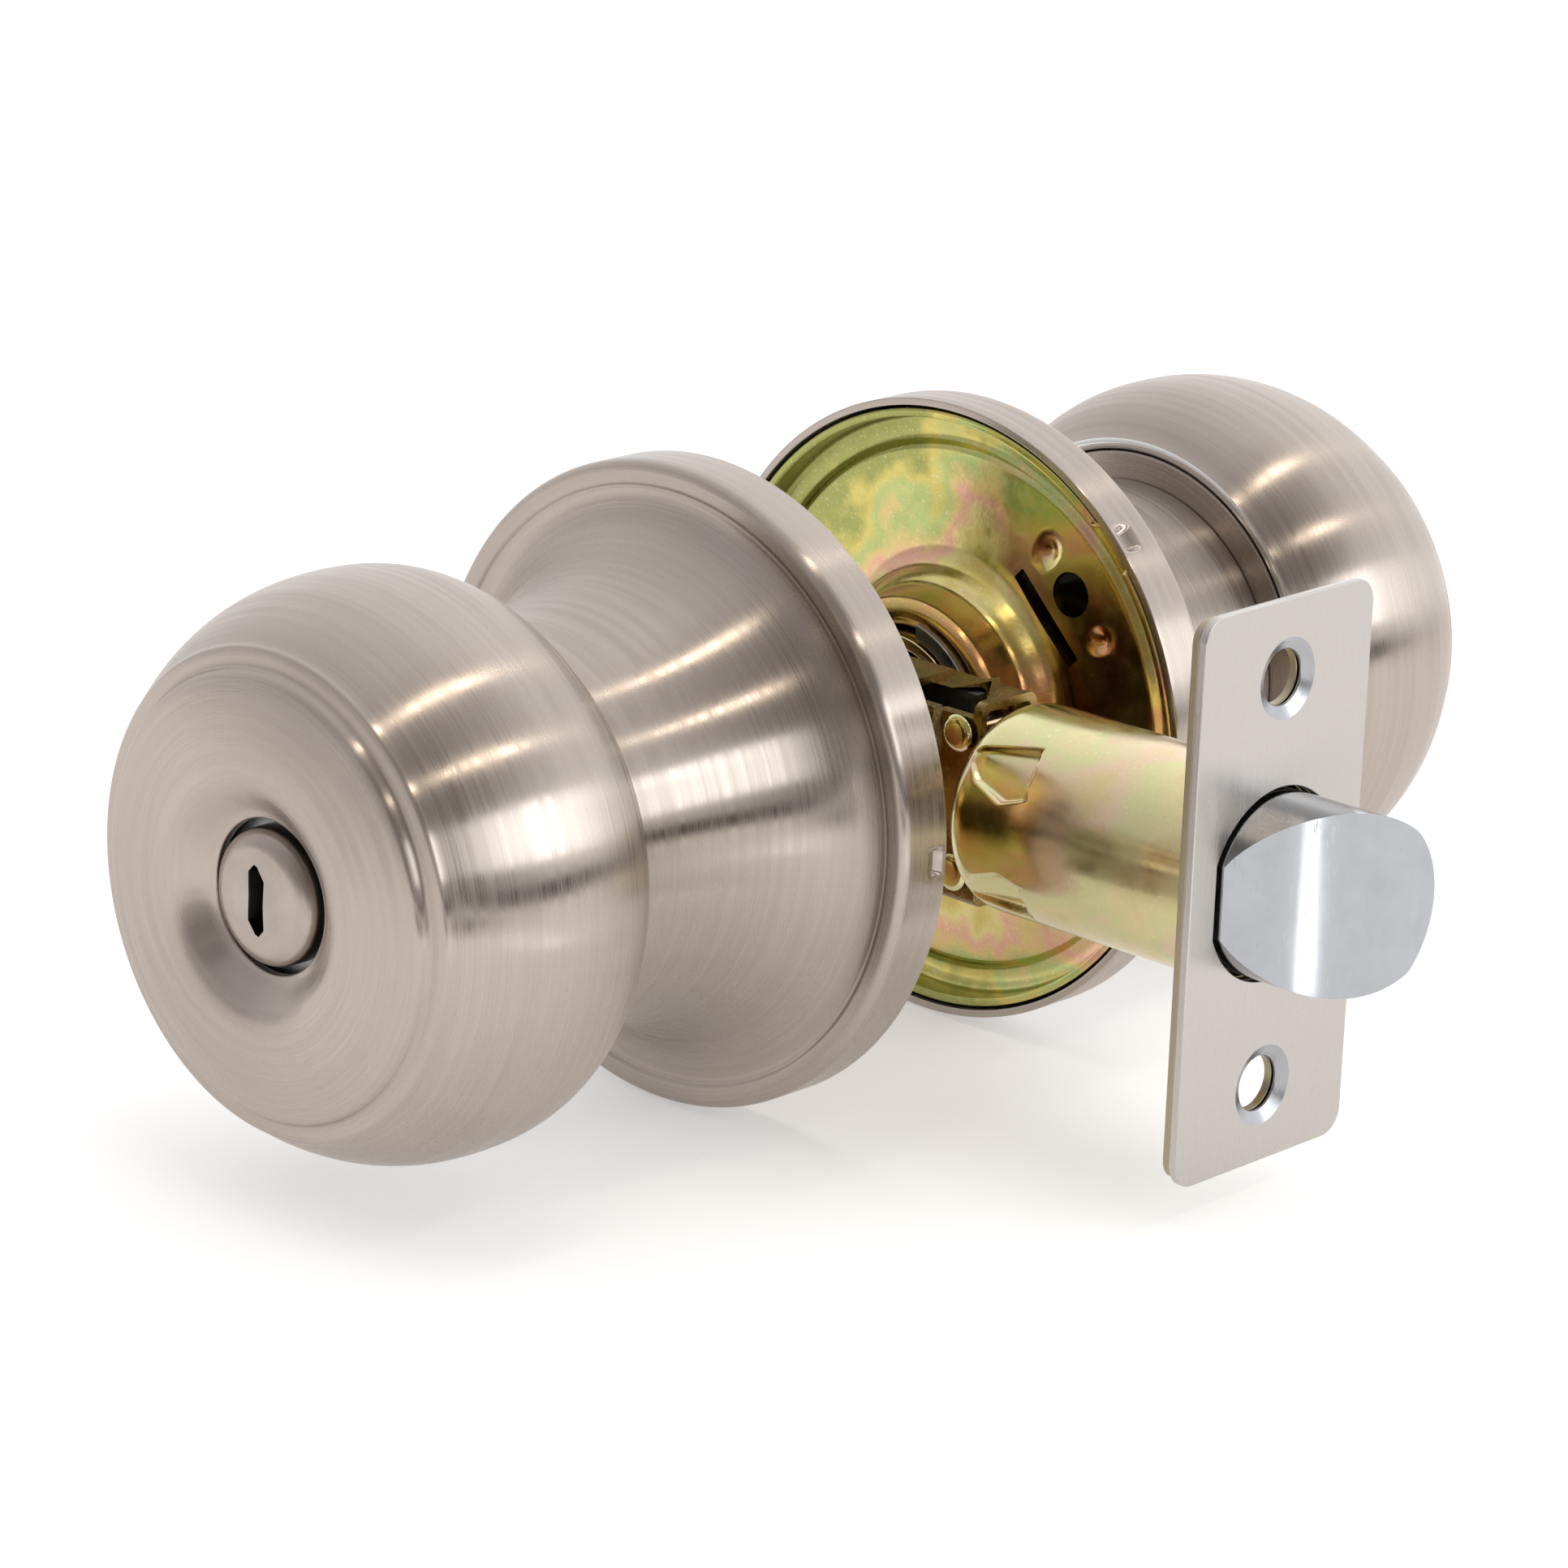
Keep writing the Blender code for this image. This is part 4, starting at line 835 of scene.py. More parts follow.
def cut_thread(radius, distance, degrees):
    """Cut a thread into the bore of a screw post."""
    in_bore = 1.2 < radius < 1.9 and POST_SEAT + 1.6 < distance < POST_END - 0.1
    wave = 0.5 + 0.5 * math.cos(2 * math.pi * (distance / THREAD_PITCH - degrees / 360.0))
    return (radius + THREAD_DEPTH * wave if in_bore else radius), distance


# ---------------------------------------------------------------- operators

def ride(thing, body, slot, *nodes):
    """Put a piece on its body in place of its CAD nodes."""
    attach(thing, body)
    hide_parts(*nodes)
    return thing


def dress(node, material):
    """Give a CAD node that stays its finish and softer edges."""
    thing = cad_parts[node]
    thing.data.materials.clear()
    thing.data.materials.append(MATERIALS[material])
    return round_edges(thing, 0.18, 2, 40.0)


class KNOBSET_OT_finishes(bpy.types.Operator):
    """Make the metal finishes"""

    bl_idname = "knobset.finishes"
    bl_label = "Make Finishes"

    def execute(self, context):
        make_finishes(context.scene.knob_finishes)
        return {"FINISHED"}


def make_ball(name, side, ball_radius, angles):
    """The knob's shell; the cut edge of its sheet at the lip is smoother and coloured bright, a painted
    highlight.
    """
    shell = turned(f"{name}_ball", knob_outline(ball_radius), angles, "satin", side=side)
    # The lip's band gets the bright cut-edge colour: painted highlight.
    shell.data.materials.append(MATERIALS["edge"])
    for face in shell.data.polygons:
        if abs(face.center.y) < (NECK_END + CUT_EDGE_HIGHLIGHT) * MM:
            face.material_index = 1
    ride(shell, "knobs", "satin_stainless", f"{name}_knob_shell")


def make_ball_back(name, side, angles):
    """The plate that closes the back of the ball, with its collar."""
    radius = LIP_RADIUS - KNOB_SHEET - 0.1
    front = BACK_START + BACK_SHEET
    end = front + COLLAR_LENGTH
    outline = softened([
        (BACK_BORE_RADIUS, BACK_START, 0.1), (radius, BACK_START, 0.3), (radius, front, 0.3),
        (COLLAR_RADIUS, front, 0.5), (COLLAR_RADIUS, end, 0.3), (BACK_BORE_RADIUS, end, 0.1)])
    plate = turned(f"{name}_ball_back", outline, angles, "satin", side=side)
    ride(plate, "knobs", "satin_stainless", f"{name}_knob_back")


class KNOBSET_OT_knobs(bpy.types.Operator):
    """Add both knob shells and the plates that close them"""

    bl_idname = "knobset.knobs"
    bl_label = "Add Knobs"

    def execute(self, context):
        sizes = context.scene.knob_sizes
        angles = even_angles(sizes.facets)
        for name, side in SIDES.items():
            make_ball(name, side, sizes.ball_radius, angles)
            make_ball_back(name, side, angles)
        return {"FINISHED"}


class KNOBSET_OT_roses(bpy.types.Operator):
    """Add the trumpet shaped roses"""

    bl_idname = "knobset.roses"
    bl_label = "Add Roses"

    def execute(self, context):
        sizes = context.scene.knob_sizes
        outline = spread(rose_outline(sizes.rose_radius, sizes.neck_radius), 0.6)
        for name, side in SIDES.items():
            dent_angle = DENT_ANGLES[name]
            angles = even_angles(sizes.facets, ((dent_angle, 6.0, 0.3),))
            rose = turned(f"{name}_trumpet_rose", outline, angles, "satin", side=side,
                          change=rose_dent(sizes.rose_radius, dent_angle))
            ride(rose, "fixed_parts", "satin_stainless", f"{name}_rose")
        return {"FINISHED"}


def make_plate(name, side):
    """A mounting plate, turned, pressed and pierced."""
    closer = [(angle, 5.5, 0.5) for angle in DIMPLE_ANGLES]
    closer += [(angle, 6.2, 0.5) for angle in SCREW_ANGLES]
    angles = even_angles(192, closer)
    plate = turned(f"{name}_plate", plate_outline(), angles, "plate", side=side, change=plate_presses)
    carve(plate, plate_cutters(side))
    clean(plate)
    ride(plate, "fixed_parts", "yellow_zinc", f"{name}_mounting_plate")


def make_post(name, degrees):
    """A threaded post, riveted into the outside plate by its foot."""
    outline = softened([
        (0.0, POST_SEAT + 1.5, 0.0), (POST_BORE_RADIUS, POST_SEAT + 1.5, 0.0),
        (POST_BORE_RADIUS, POST_END, 0.1),
        (POST_RADIUS, POST_END, 0.4), (POST_RADIUS, POST_SEAT, 0.2), (POST_FOOT_RADIUS, POST_SEAT, 0.0),
        (POST_FOOT_RADIUS, POST_SEAT - 1.5, 0.2), (0.0, POST_SEAT - 1.5, 0.0)])
    post = turned(f"threaded_post_{name}", spread(outline, 0.2), even_angles(48), "tube", change=cut_thread)
    angle = math.radians(degrees)
    place = Vector((math.cos(angle), 0.0, math.sin(angle))) * SCREW_CIRCLE_RADIUS
    post.data.transform(Matrix.Translation(place * MM))
    ride(post, "fixed_parts", "yellow_zinc", f"screw_post_{name}")


class KNOBSET_OT_plates(bpy.types.Operator):
    """Add the mounting plates with their slots, dimples and spring cups"""

    bl_idname = "knobset.plates"
    bl_label = "Add Mounting Plates"

    def execute(self, context):
        for name, side in SIDES.items():
            make_plate(name, side)
        for name, degrees in zip(("upper", "lower"), SCREW_ANGLES):
            make_post(name, degrees)
        return {"FINISHED"}


# Slotted plug and turn button, which share a barrel
BARREL_RADIUS = 5.6
BARREL_LENGTH = 5.0
PLUG_TOP = DISH_FLOOR + 1.8
COIN_SLOT_DEPTH = 3.2
COIN_SLOT_HALF_WIDTH = 1.1
COIN_SLOT_HALF_LENGTH = 3.5
WING_WIDTH = 3.6
WING_LENGTH = 12.6


def make_plug(start, radius):
    """The domed plug, with a slot that is a little twisted, for a coin or a blade."""
    outline = softened([
        (0.0, start, 0.0), (BARREL_RADIUS, start, 0.2), (BARREL_RADIUS, start + BARREL_LENGTH, 0.1),
        (radius, start + BARREL_LENGTH, 0.2), (radius, DISH_FLOOR + 0.1, 0.5),
        (radius * 0.95, DISH_FLOOR + 0.8, 0.5), (radius * 0.8, PLUG_TOP - 0.35, 0.9),
        (radius * 0.5, PLUG_TOP - 0.08, 0.6), (0.0, PLUG_TOP, 0.0)], 6)
    plug = turned("slotted_plug", spread(outline, 0.7), even_angles(96), "plug", side=-1.0)
    half = [(-0.35, COIN_SLOT_HALF_LENGTH), (-COIN_SLOT_HALF_WIDTH, 2.7), (-1.0, 0.3),
            (-COIN_SLOT_HALF_WIDTH, -2.1), (-0.1, -3.35)]
    slot = half + [(-u, -v) for u, v in half]
    carve(plug, [drawn_out(slot, -PLUG_TOP - 1.0, -(PLUG_TOP - COIN_SLOT_DEPTH), "Y")])
    clean(plug, 30.0)
    darken_slot(plug)
    round_edges(plug, 0.22, 3, 40.0)
    ride(plug, "privacy_lock", "polished_chrome", "emergency_release_plug")


def darken_slot(plug):
    """Paint the walls and floor of the slot near black, as painted shade in the deep slot."""
    plug.data.materials.append(MATERIALS["recess"])
    for face in plug.data.polygons:
        across, along = abs(face.center.x) / MM, abs(face.center.z) / MM
        depth = PLUG_TOP + face.center.y / MM
        inside = across < COIN_SLOT_HALF_WIDTH + 0.05 and along < COIN_SLOT_HALF_LENGTH + 0.05
        if inside and 0.5 < depth < COIN_SLOT_DEPTH + 0.1:
            face.material_index = 1


def make_button(start, radius):
    """The turn button: a low cap with a wing across it."""
    outline = softened([
        (0.0, start, 0.0), (BARREL_RADIUS, start, 0.2), (BARREL_RADIUS, start + BARREL_LENGTH, 0.1),
        (radius, start + BARREL_LENGTH, 0.2), (radius, DISH_FLOOR + 0.4, 0.4),
        (radius * 0.8, DISH_FLOOR + 0.8, 0.6), (0.0, DISH_FLOOR + 0.8, 0.0)], 6)
    button = turned("thumb_turn", spread(outline, 0.7), even_angles(96), "plug", side=1.0)
    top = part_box("turn_button")[1].y / MM
    wing = drawn_out(rounded_outline(WING_WIDTH, WING_LENGTH, 1.6, 8), DISH_FLOOR + 0.3, top, "Y")
    carve(button, [wing], "UNION")
    clean(button, 30.0)
    round_edges(button, 0.5, 4, 40.0)
    ride(button, "privacy_lock", "satin_stainless", "turn_button")


class KNOBSET_OT_privacy(bpy.types.Operator):
    """Add the slotted release plug and the turn button"""

    bl_idname = "knobset.privacy"
    bl_label = "Add Plug and Button"

    def execute(self, context):
        radius = context.scene.knob_sizes.plug_radius
        start = -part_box("emergency_release_plug")[1].y / MM
        make_plug(start, radius)
        make_button(start, radius)
        dress("lock_bar", "wire")
        return {"FINISHED"}


# Inner and outer radius, finish and slot of the plain rings on each side
RINGS = {
    "shank": (8.3, 9.5, "tube", "yellow_zinc"),
    "retaining_ring": (9.8, 11.4, "wire", "spring_steel"),
    "spring_driver": (9.8, 15.0, "tube", "yellow_zinc"),
}
RING_OPENING = 5.0
RETURN_SPRING_RADIUS = 10.7
SPRING_WIRE = 0.9
SPRING_TURNS = 4
SPINDLE_RADIUS = 4.6
SPINDLE_FLAT = 3.9
SPINDLE_BORE_RADIUS = 2.6


def spindle_span(node):
    """Where a CAD node starts and ends along the spindle, counted from the middle of the door."""
    low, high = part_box(node)
    return sorted((abs(low.y) / MM, abs(high.y) / MM))


def make_ring(name, side, piece):
    """A shank, a spring driver, or a retaining ring, which is open at its top."""
    inner, outer, finish, slot = RINGS[piece]
    start, end = spindle_span(f"{name}_{piece}")
    outline = softened([
        (inner, start, 0.15), (outer, start, 0.15), (outer, end, 0.15), (inner, end, 0.15)], 3)
    made = turned(f"{name}_{piece}_fine", outline, even_angles(128), finish, side=side)
    if piece == "retaining_ring":
        low, high = sorted((side * (start - 1), side * (end + 1)))
        carve(made, [box_mesh((-RING_OPENING / 2, low, 0.0), (RING_OPENING / 2, high, 14.0))])
        clean(made)
    ride(made, "knobs", slot, f"{name}_{piece}")


def make_return_spring(name, side):
    """The spring that turns the knob back."""
    start, end = spindle_span(f"{name}_return_spring")
    coil = coil_mesh(RETURN_SPRING_RADIUS, SPRING_WIRE, SPRING_TURNS, start, end, "Y", side)
    ride(link_mesh(f"{name}_coil", coil, "wire"), "fixed_parts", "spring_steel", f"{name}_return_spring")


def make_spindle():
    """The spindle: a hollow bar with a flat above and below."""
    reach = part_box("spindle")[1].y / MM
    bar = drawn_out(two_flats(SPINDLE_RADIUS, SPINDLE_FLAT), -reach, reach, "Y")
    spindle = link_mesh("drive_spindle", bar, "tube")
    carve(spindle, [drawn_out(circle(SPINDLE_BORE_RADIUS), -reach - 1, reach + 1, "Y")])
    clean(spindle)
    round_edges(spindle, 0.2, 2, 35.0)
    ride(spindle, "knobs", "yellow_zinc", "spindle")


class KNOBSET_OT_shanks(bpy.types.Operator):
    """Add the shanks, springs, rings and the spindle"""

    bl_idname = "knobset.shanks"
    bl_label = "Add Shanks and Springs"

    def execute(self, context):
        for name, side in SIDES.items():
            for piece in RINGS:
                make_ring(name, side, piece)
            make_return_spring(name, side)
            dress(f"{name}_knob_core", "cast")
        make_spindle()
        return {"FINISHED"}


# Latch tube. Each pocket is outlined by distances from its start and angles round the tube
TUBE_WALL = 1.0
TUBE_SHOULDER = 3.6
TUBE_MOUTH_RADIUS = 6.8
POCKET = ((0.1, 46.0), (8.2, 57.0), (8.5, 42.0), (9.0, 25.0), (6.0, 19.0), (2.2, 27.0), (0.6, 36.0))
POCKET_START = 1.6
POCKET_ANGLES = (38.0, 142.0, 218.0, 322.0)
POCKET_RAMP = 8.0           # length over which a pocket deepens
POCKET_SLOPE = 0.6
POCKET_DEPTH = 1.25
BORE_POCKET_DEPTH = 0.3     # less than outside, so that the bolt slides in over it

# Latch case, with a raised mouth above whose window is a diamond
CASE_SHEET = 0.9
CASE_HUB_HOLE_RADIUS = 6.3
RIVETS = ("upper", "lower", "rear")
RIVET_HOLE_RADIUS = 1.5
RIVET_RADIUS = 1.2
RIVET_HEAD_RADIUS = 2.0
RIVET_HEAD_HEIGHT = 0.7
LATCH_SPRING_RADIUS = 7.4
SEAT_HOLE_RADIUS = 5.7
SEAT_RADIUS = 9.4


def tube_pockets(tube_radius):
    """Press in the pockets behind the tube's shoulder, which grip the latch case."""
    corners = [Vector((along, math.radians(turn) * tube_radius)) for along, turn in POCKET]

    def change(radius, distance, degrees):
        if radius < 8.5 or distance > TUBE_REAR + 11.0:
            return radius, distance
        folded = abs((degrees + 180.0) % 360.0 - 180.0)
        folded = min(folded, 180.0 - folded)
        here = Vector((distance - TUBE_REAR - POCKET_START, math.radians(folded) * tube_radius))
        inset = 9.0
        for first, second in zip(corners, corners[1:] + corners[:1]):
            edge = second - first
            inset = min(inset, (edge.y * (here - first).x - edge.x * (here - first).y) / edge.length)
        ramp = max(0.0, min(1.0, here.x / POCKET_RAMP))
        outside = radius > tube_radius - 0.75 * TUBE_WALL
        depth = POCKET_DEPTH if outside else BORE_POCKET_DEPTH
        return radius - depth * ramp ** 0.7 * smooth_step(inset / POCKET_SLOPE), distance
    return change


def make_tube(radius):
    """The latch tube, with a round shoulder at its rear end."""
    middle = (radius - TUBE_SHOULDER, TUBE_REAR + TUBE_SHOULDER)
    shoulder = [(r, d, 0.0) for r, d in arc(middle, TUBE_SHOULDER, -90.0, 0.0, 14)]
    inner = [(r, d, 0.0) for r, d in arc(middle, TUBE_SHOULDER - TUBE_WALL, 0.0, -90.0, 8)]
    outline = [(TUBE_MOUTH_RADIUS, TUBE_REAR, 0.2)] + shoulder
    outline += [(radius, TUBE_FRONT, 0.2), (radius - TUBE_WALL, TUBE_FRONT, 0.2)]
    outline += inner + [(TUBE_MOUTH_RADIUS, TUBE_REAR + TUBE_WALL, 0.2)]
    angles = even_angles(120, [(angle, 21.0, 0.9) for angle in POCKET_ANGLES])
    tube = turned("latch_sleeve", spread(softened(outline, 3), 0.28), angles, "tube", axis="X",
                  change=tube_pockets(radius), sharp=60.0)
    ride(tube, "fixed_parts", "yellow_zinc", "latch_tube")


def diamond(start, end, half_width):
    """A diamond along the latch, widest at the same place for mouth and window."""
    return [(start, 0.0), (19.6, half_width), (end, 0.0), (19.6, -half_width)]


def rivet_place(rivet):
    """The middle of a rivet and the distance to its ends."""
    low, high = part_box(f"case_rivet_{rivet}")
    return (low + high) / 2 / MM, high.y / MM


def make_case():
    """The folded case, open at both ends, with holes for the cam's hub and the rivets."""
    low, high = (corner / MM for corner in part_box("latch_case"))
    width, height = high.y - low.y, high.z - low.z
    profile = rounded_outline(width, height, 1.3, 5)
    # The case's darkened chromate is painted shade.
    case = link_mesh("latch_box", drawn_out(profile, low.x, high.x, "X"), "case")
    carve(case, [drawn_out(diamond(15.9, 23.4, 4.95), 4.6, high.z, "Z")], "UNION")
    inside = rounded_outline(width - 2 * CASE_SHEET, height - 2 * CASE_SHEET, 0.6, 4)
    slant = [(-8.0, 8.4), (8.0, high.z + 0.4), (8.0, high.z + 4.0), (-8.0, high.z + 4.0)]
    carve(case, [
        drawn_out(inside, low.x - 1, high.x + 1, "X"),
        drawn_out(circle(CASE_HUB_HOLE_RADIUS), -8.0, 8.0, "Y"),
        drawn_out(diamond(17.1, 22.3, 3.75), 5.5, 12.0, "Z"),
        drawn_out(slant, 15.0, 24.2, "X")])
    for rivet in RIVETS:
        middle = rivet_place(rivet)[0]
        carve(case, [drawn_out(circle(RIVET_HOLE_RADIUS, (middle.x, middle.z), 24), -8.0, 8.0, "Y")])
    clean(case)
    round_edges(case, 0.12, 2, 50.0)
    ride(case, "fixed_parts", "yellow_zinc", "latch_case")


def make_rivet(rivet):
    """A rivet across the case, with a head at each end."""
    middle, end = rivet_place(rivet)
    head = end - RIVET_HEAD_HEIGHT
    outline = softened([
        (0.0, -end, 0.0), (1.4, -end, 0.4), (RIVET_HEAD_RADIUS, -end + 0.55, 0.2),
        (RIVET_RADIUS, -head, 0.0),
        (RIVET_RADIUS, head, 0.0), (RIVET_HEAD_RADIUS, end - 0.55, 0.2), (1.4, end, 0.4), (0.0, end, 0.0)])
    made = turned(f"rivet_{rivet}", outline, even_angles(40), "tube")
    made.data.transform(Matrix.Translation(Vector((middle.x, 0, middle.z)) * MM))
    ride(made, "fixed_parts", "yellow_zinc", f"case_rivet_{rivet}")


def make_latch_spring():
    """The spring that pushes the bolt out."""
    low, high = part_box("latch_spring")
    coil = coil_mesh(LATCH_SPRING_RADIUS, SPRING_WIRE, SPRING_TURNS, low.x / MM, high.x / MM, "X")
    ride(link_mesh("bolt_spring", coil, "wire"), "fixed_parts", "spring_steel", "latch_spring")


def make_spring_seat():
    """The washer that the latch spring stands on."""
    start, end = (corner.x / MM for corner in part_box("spring_seat"))
    outline = softened([(SEAT_HOLE_RADIUS, start, 0.15), (SEAT_RADIUS, start, 0.15), (SEAT_RADIUS, end, 0.15),
                        (SEAT_HOLE_RADIUS, end, 0.15)], 3)
    washer = turned("spring_washer", outline, even_angles(96), "tube", axis="X")
    ride(washer, "fixed_parts", "yellow_zinc", "spring_seat")


class KNOBSET_OT_latch_body(bpy.types.Operator):
    """Add the latch tube, its case, rivets and inner pieces"""

    bl_idname = "knobset.latch_body"
    bl_label = "Add Latch Body"

    def execute(self, context):
        make_tube(context.scene.knob_sizes.tube_radius)
        make_case()
        for rivet in RIVETS:
            make_rivet(rivet)
        make_latch_spring()
        make_spring_seat()
        dress("latch_cam", "cast")
        return {"FINISHED"}


# Bolt, and the strips that it comes out through
BOLT_FLAT = 8.6
BOLT_HOLE_RADIUS = 9.75
BOLT_HOLE_FLAT = 9.0
BEVEL_START = 0.5           # flat side showing in front of the faceplate
BEVEL_SAGITTA = 1.35
TIP_SIDE = 5.95             # middle of the latch to the end of the bevel at the tip
STRIP_CORNER = 2.6
BACKPLATE_INSET = 0.5
SCREW_HEIGHTS = (20.65, -20.65)
WOOD_SCREW_HOLE_RADIUS = 2.8
COUNTERSINK_RADIUS = 4.2


def countersink(z, front):
    """A cone that opens towards the front of the faceplate."""
    start, end = front - 0.66, front + 0.16
    cone = turned_mesh([(0.0, start), (2.79, start), (4.42, end), (0.0, end)], even_angles(48), "X")
    bmesh.ops.translate(cone, verts=cone.verts, vec=(0.0, 0.0, z))
    return cone


def wear_countersinks(strip):
    """Give the slopes of the countersinks their worn bright finish."""
    strip.data.materials.append(MATERIALS["worn"])
    for face in strip.data.polygons:
        for z in SCREW_HEIGHTS:
            off = math.hypot(face.center.y, face.center.z - z * MM)
            if off < COUNTERSINK_RADIUS * MM and abs(face.normal.x) < 0.97:
                face.material_index = 1


def make_strip(name, node, finish, slot, corner, countersunk):
    """A strip with round corners, pierced for the bolt and two wood screws."""
    low, high = (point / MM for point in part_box(node))
    outline = rounded_outline(high.y - low.y, high.z - low.z, corner, 10)
    strip = link_mesh(name, drawn_out(outline, low.x, high.x, "X"), finish)
    holes = [flat_sided(BOLT_HOLE_RADIUS, BOLT_HOLE_FLAT)]
    holes += [circle(WOOD_SCREW_HOLE_RADIUS, (0.0, z)) for z in SCREW_HEIGHTS]
    tools = [drawn_out(hole, low.x - 1, high.x + 1, "X") for hole in holes]
    if countersunk:
        tools += [countersink(z, high.x) for z in SCREW_HEIGHTS]
    carve(strip, tools)
    clean(strip, 25.0)
    if countersunk:
        wear_countersinks(strip)
    round_edges(strip, 0.16, 3, 40.0)
    ride(strip, "fixed_parts", slot, node)


class KNOBSET_OT_faceplate(bpy.types.Operator):
    """Add the faceplate and the backplate behind it"""

    bl_idname = "knobset.faceplate"
    bl_label = "Add Faceplate"

    def execute(self, context):
        make_strip("face_strip", "latch_faceplate", "strip", "satin_stainless", STRIP_CORNER, True)
        back_corner = STRIP_CORNER - BACKPLATE_INSET
        make_strip("back_strip", "latch_backplate", "dull", "yellow_zinc", back_corner, False)
        return {"FINISHED"}


def bevel_curve(start, end, sagitta, steps):
    """Points on the shallow arc of the bolt's bevel, seen from above."""
    start, end = Vector(start), Vector(end)
    chord = end - start
    radius = (chord.length ** 2 / 4 + sagitta ** 2) / (2 * sagitta)
    outward = Vector((chord.y, -chord.x)).normalized()
    centre = (start + end) / 2 - outward * (radius - sagitta)
    first = math.degrees(math.atan2(start.y - centre.y, start.x - centre.x))
    last = math.degrees(math.atan2(end.y - centre.y, end.x - centre.x))
    return arc(centre, radius, first, last, steps)


class KNOBSET_OT_bolt(bpy.types.Operator):
    """Add the bevelled spring bolt"""

    bl_idname = "knobset.bolt"
    bl_label = "Add Bolt"

    def execute(self, context):
        section = flat_sided(context.scene.knob_sizes.bolt_radius, BOLT_FLAT, 120)
        bolt = link_mesh("spring_bolt", drawn_out(section, BOLT_REAR, BOLT_TIP, "X"), "chrome")
        start, beyond = FACEPLATE_FRONT + BEVEL_START, BOLT_TIP + 2
        curve = bevel_curve((start, -BOLT_FLAT), (BOLT_TIP, TIP_SIDE), BEVEL_SAGITTA, 40)
        outline = curve + [(beyond, TIP_SIDE), (beyond, -20.0), (start, -20.0)]
        carve(bolt, [drawn_out(outline, -20.0, 20.0, "Z")])
        clean(bolt, 20.0)
        round_edges(bolt, 1.1, 6, 25.0)
        ride(bolt, "bolt", "polished_chrome", "latch_bolt")
        dress("bolt_tail", "cast")
        dress("retractor", "cast")
        return {"FINISHED"}


# ---------------------------------------------------------------- studio

CAMERA_PLACE = (383.128, -416.807, 175.543)
CAMERA_TURNS = (42.961, 17.658, 2.035)      # azimuth, elevation and roll in degrees
CAMERA_LENS = 132.02
CAMERA_SENSOR = 36.0


def add_floor(colour):
    """A plain pale floor under the set. It glows a little, which keeps its shadows light."""
    floor_bm = bmesh.new()
    bmesh.ops.create_grid(floor_bm, x_segments=4, y_segments=4, size=4.0)
    bmesh.ops.translate(floor_bm, verts=floor_bm.verts, vec=(0.0, 0.0, FLOOR_LEVEL * MM))
    mesh = bpy.data.meshes.new("floor")
    floor_bm.to_mesh(mesh)
    floor_bm.free()
    floor = bpy.data.objects.new("floor", mesh)
    bpy.context.scene.collection.objects.link(floor)
    material, tree, shader = new_material("matt_painted_board", colour, 0.9, 0.0)
    shader.inputs["Specular IOR Level"].default_value = 0.1
    shader.inputs["Emission Color"].default_value = (1.0, 1.0, 1.0, 1.0)
    shader.inputs["Emission Strength"].default_value = 0.36
    mesh.materials.append(material)


def add_lamp(name, direction, distance, size, power, colour):
    """A soft rectangular lamp that looks at the set."""
    data = bpy.data.lights.new(name, "AREA")
    data.shape = "RECTANGLE"
    data.size, data.size_y = size
    data.energy = power
    data.color = colour
    lamp = bpy.data.objects.new(name, data)
    bpy.context.scene.collection.objects.link(lamp)
    away = Vector(direction).normalized()
    side = Vector((0.0, 1.0, 0.0)).cross(away).normalized()
    up = away.cross(side)
    lamp.matrix_world = Matrix.Translation(away * distance) @ Matrix((side, up, away)).transposed().to_4x4()
    return lamp


def add_card(name, low, high):
    """A dark card beside the set, which only darkens one part of the reflections."""
    card = link_mesh(name, box_mesh([c / MM for c in low], [c / MM for c in high]), None)
    material, tree, shader = new_material(name, linear("3A3836"), 0.8, 0.0)
    grain = noise_at(tree, object_place(tree), 0.5)
    tree.links.new(remap(tree, grain, 0.3, 0.7, 0.7, 0.9), shader.inputs["Roughness"])
    card.data.materials.append(material)
    card.visible_camera = False
    card.visible_diffuse = False
    card.visible_shadow = False


def add_lamps():
    """A window, two long ceiling lamps, a fill from above and a low strip beside the bolt."""
    add_lamp("window", (0.93, 0.16, 0.37), 1.6, (0.56, 1.7), 8.6, (0.93, 0.97, 1.0))
    add_lamp("ceiling_tube_near", (0.2, 0.0, 0.97), 1.6, (0.05, 1.25), 2.6, (1.0, 0.88, 0.72))
    add_lamp("ceiling_tube_far", (0.63, 0.0, 0.77), 1.6, (0.05, 1.25), 2.2, (1.0, 0.9, 0.76))
    fill = add_lamp("overhead_fill", (-0.15, -0.2, 0.97), 1.9, (2.4, 2.4), 3.5, (1.0, 0.99, 0.98))
    fill.visible_glossy = False
    low = add_lamp("low_reflector", (0.0, 0.0, 1.0), 0.01, (0.011, 0.09), 0.009, (1.0, 1.0, 1.0))
    low.visible_camera = False
    low.matrix_world = (Matrix.Translation((0.163, -0.056, -0.032))
                        @ Matrix.Rotation(math.radians(-120), 4, "Z") @ Matrix.Rotation(math.pi, 4, "X"))


def zone(sky, direction, centre, edge, core):
    """How deep a direction lies in a round zone of the sky, from 0 outside to 1 in its core."""
    toward = add_node(sky, "ShaderNodeVectorMath", {"operation": "DOT_PRODUCT"}, {1: centre}, {0: direction})
    return remap(sky, toward.outputs["Value"], edge, core, 0.0, 1.0, True)


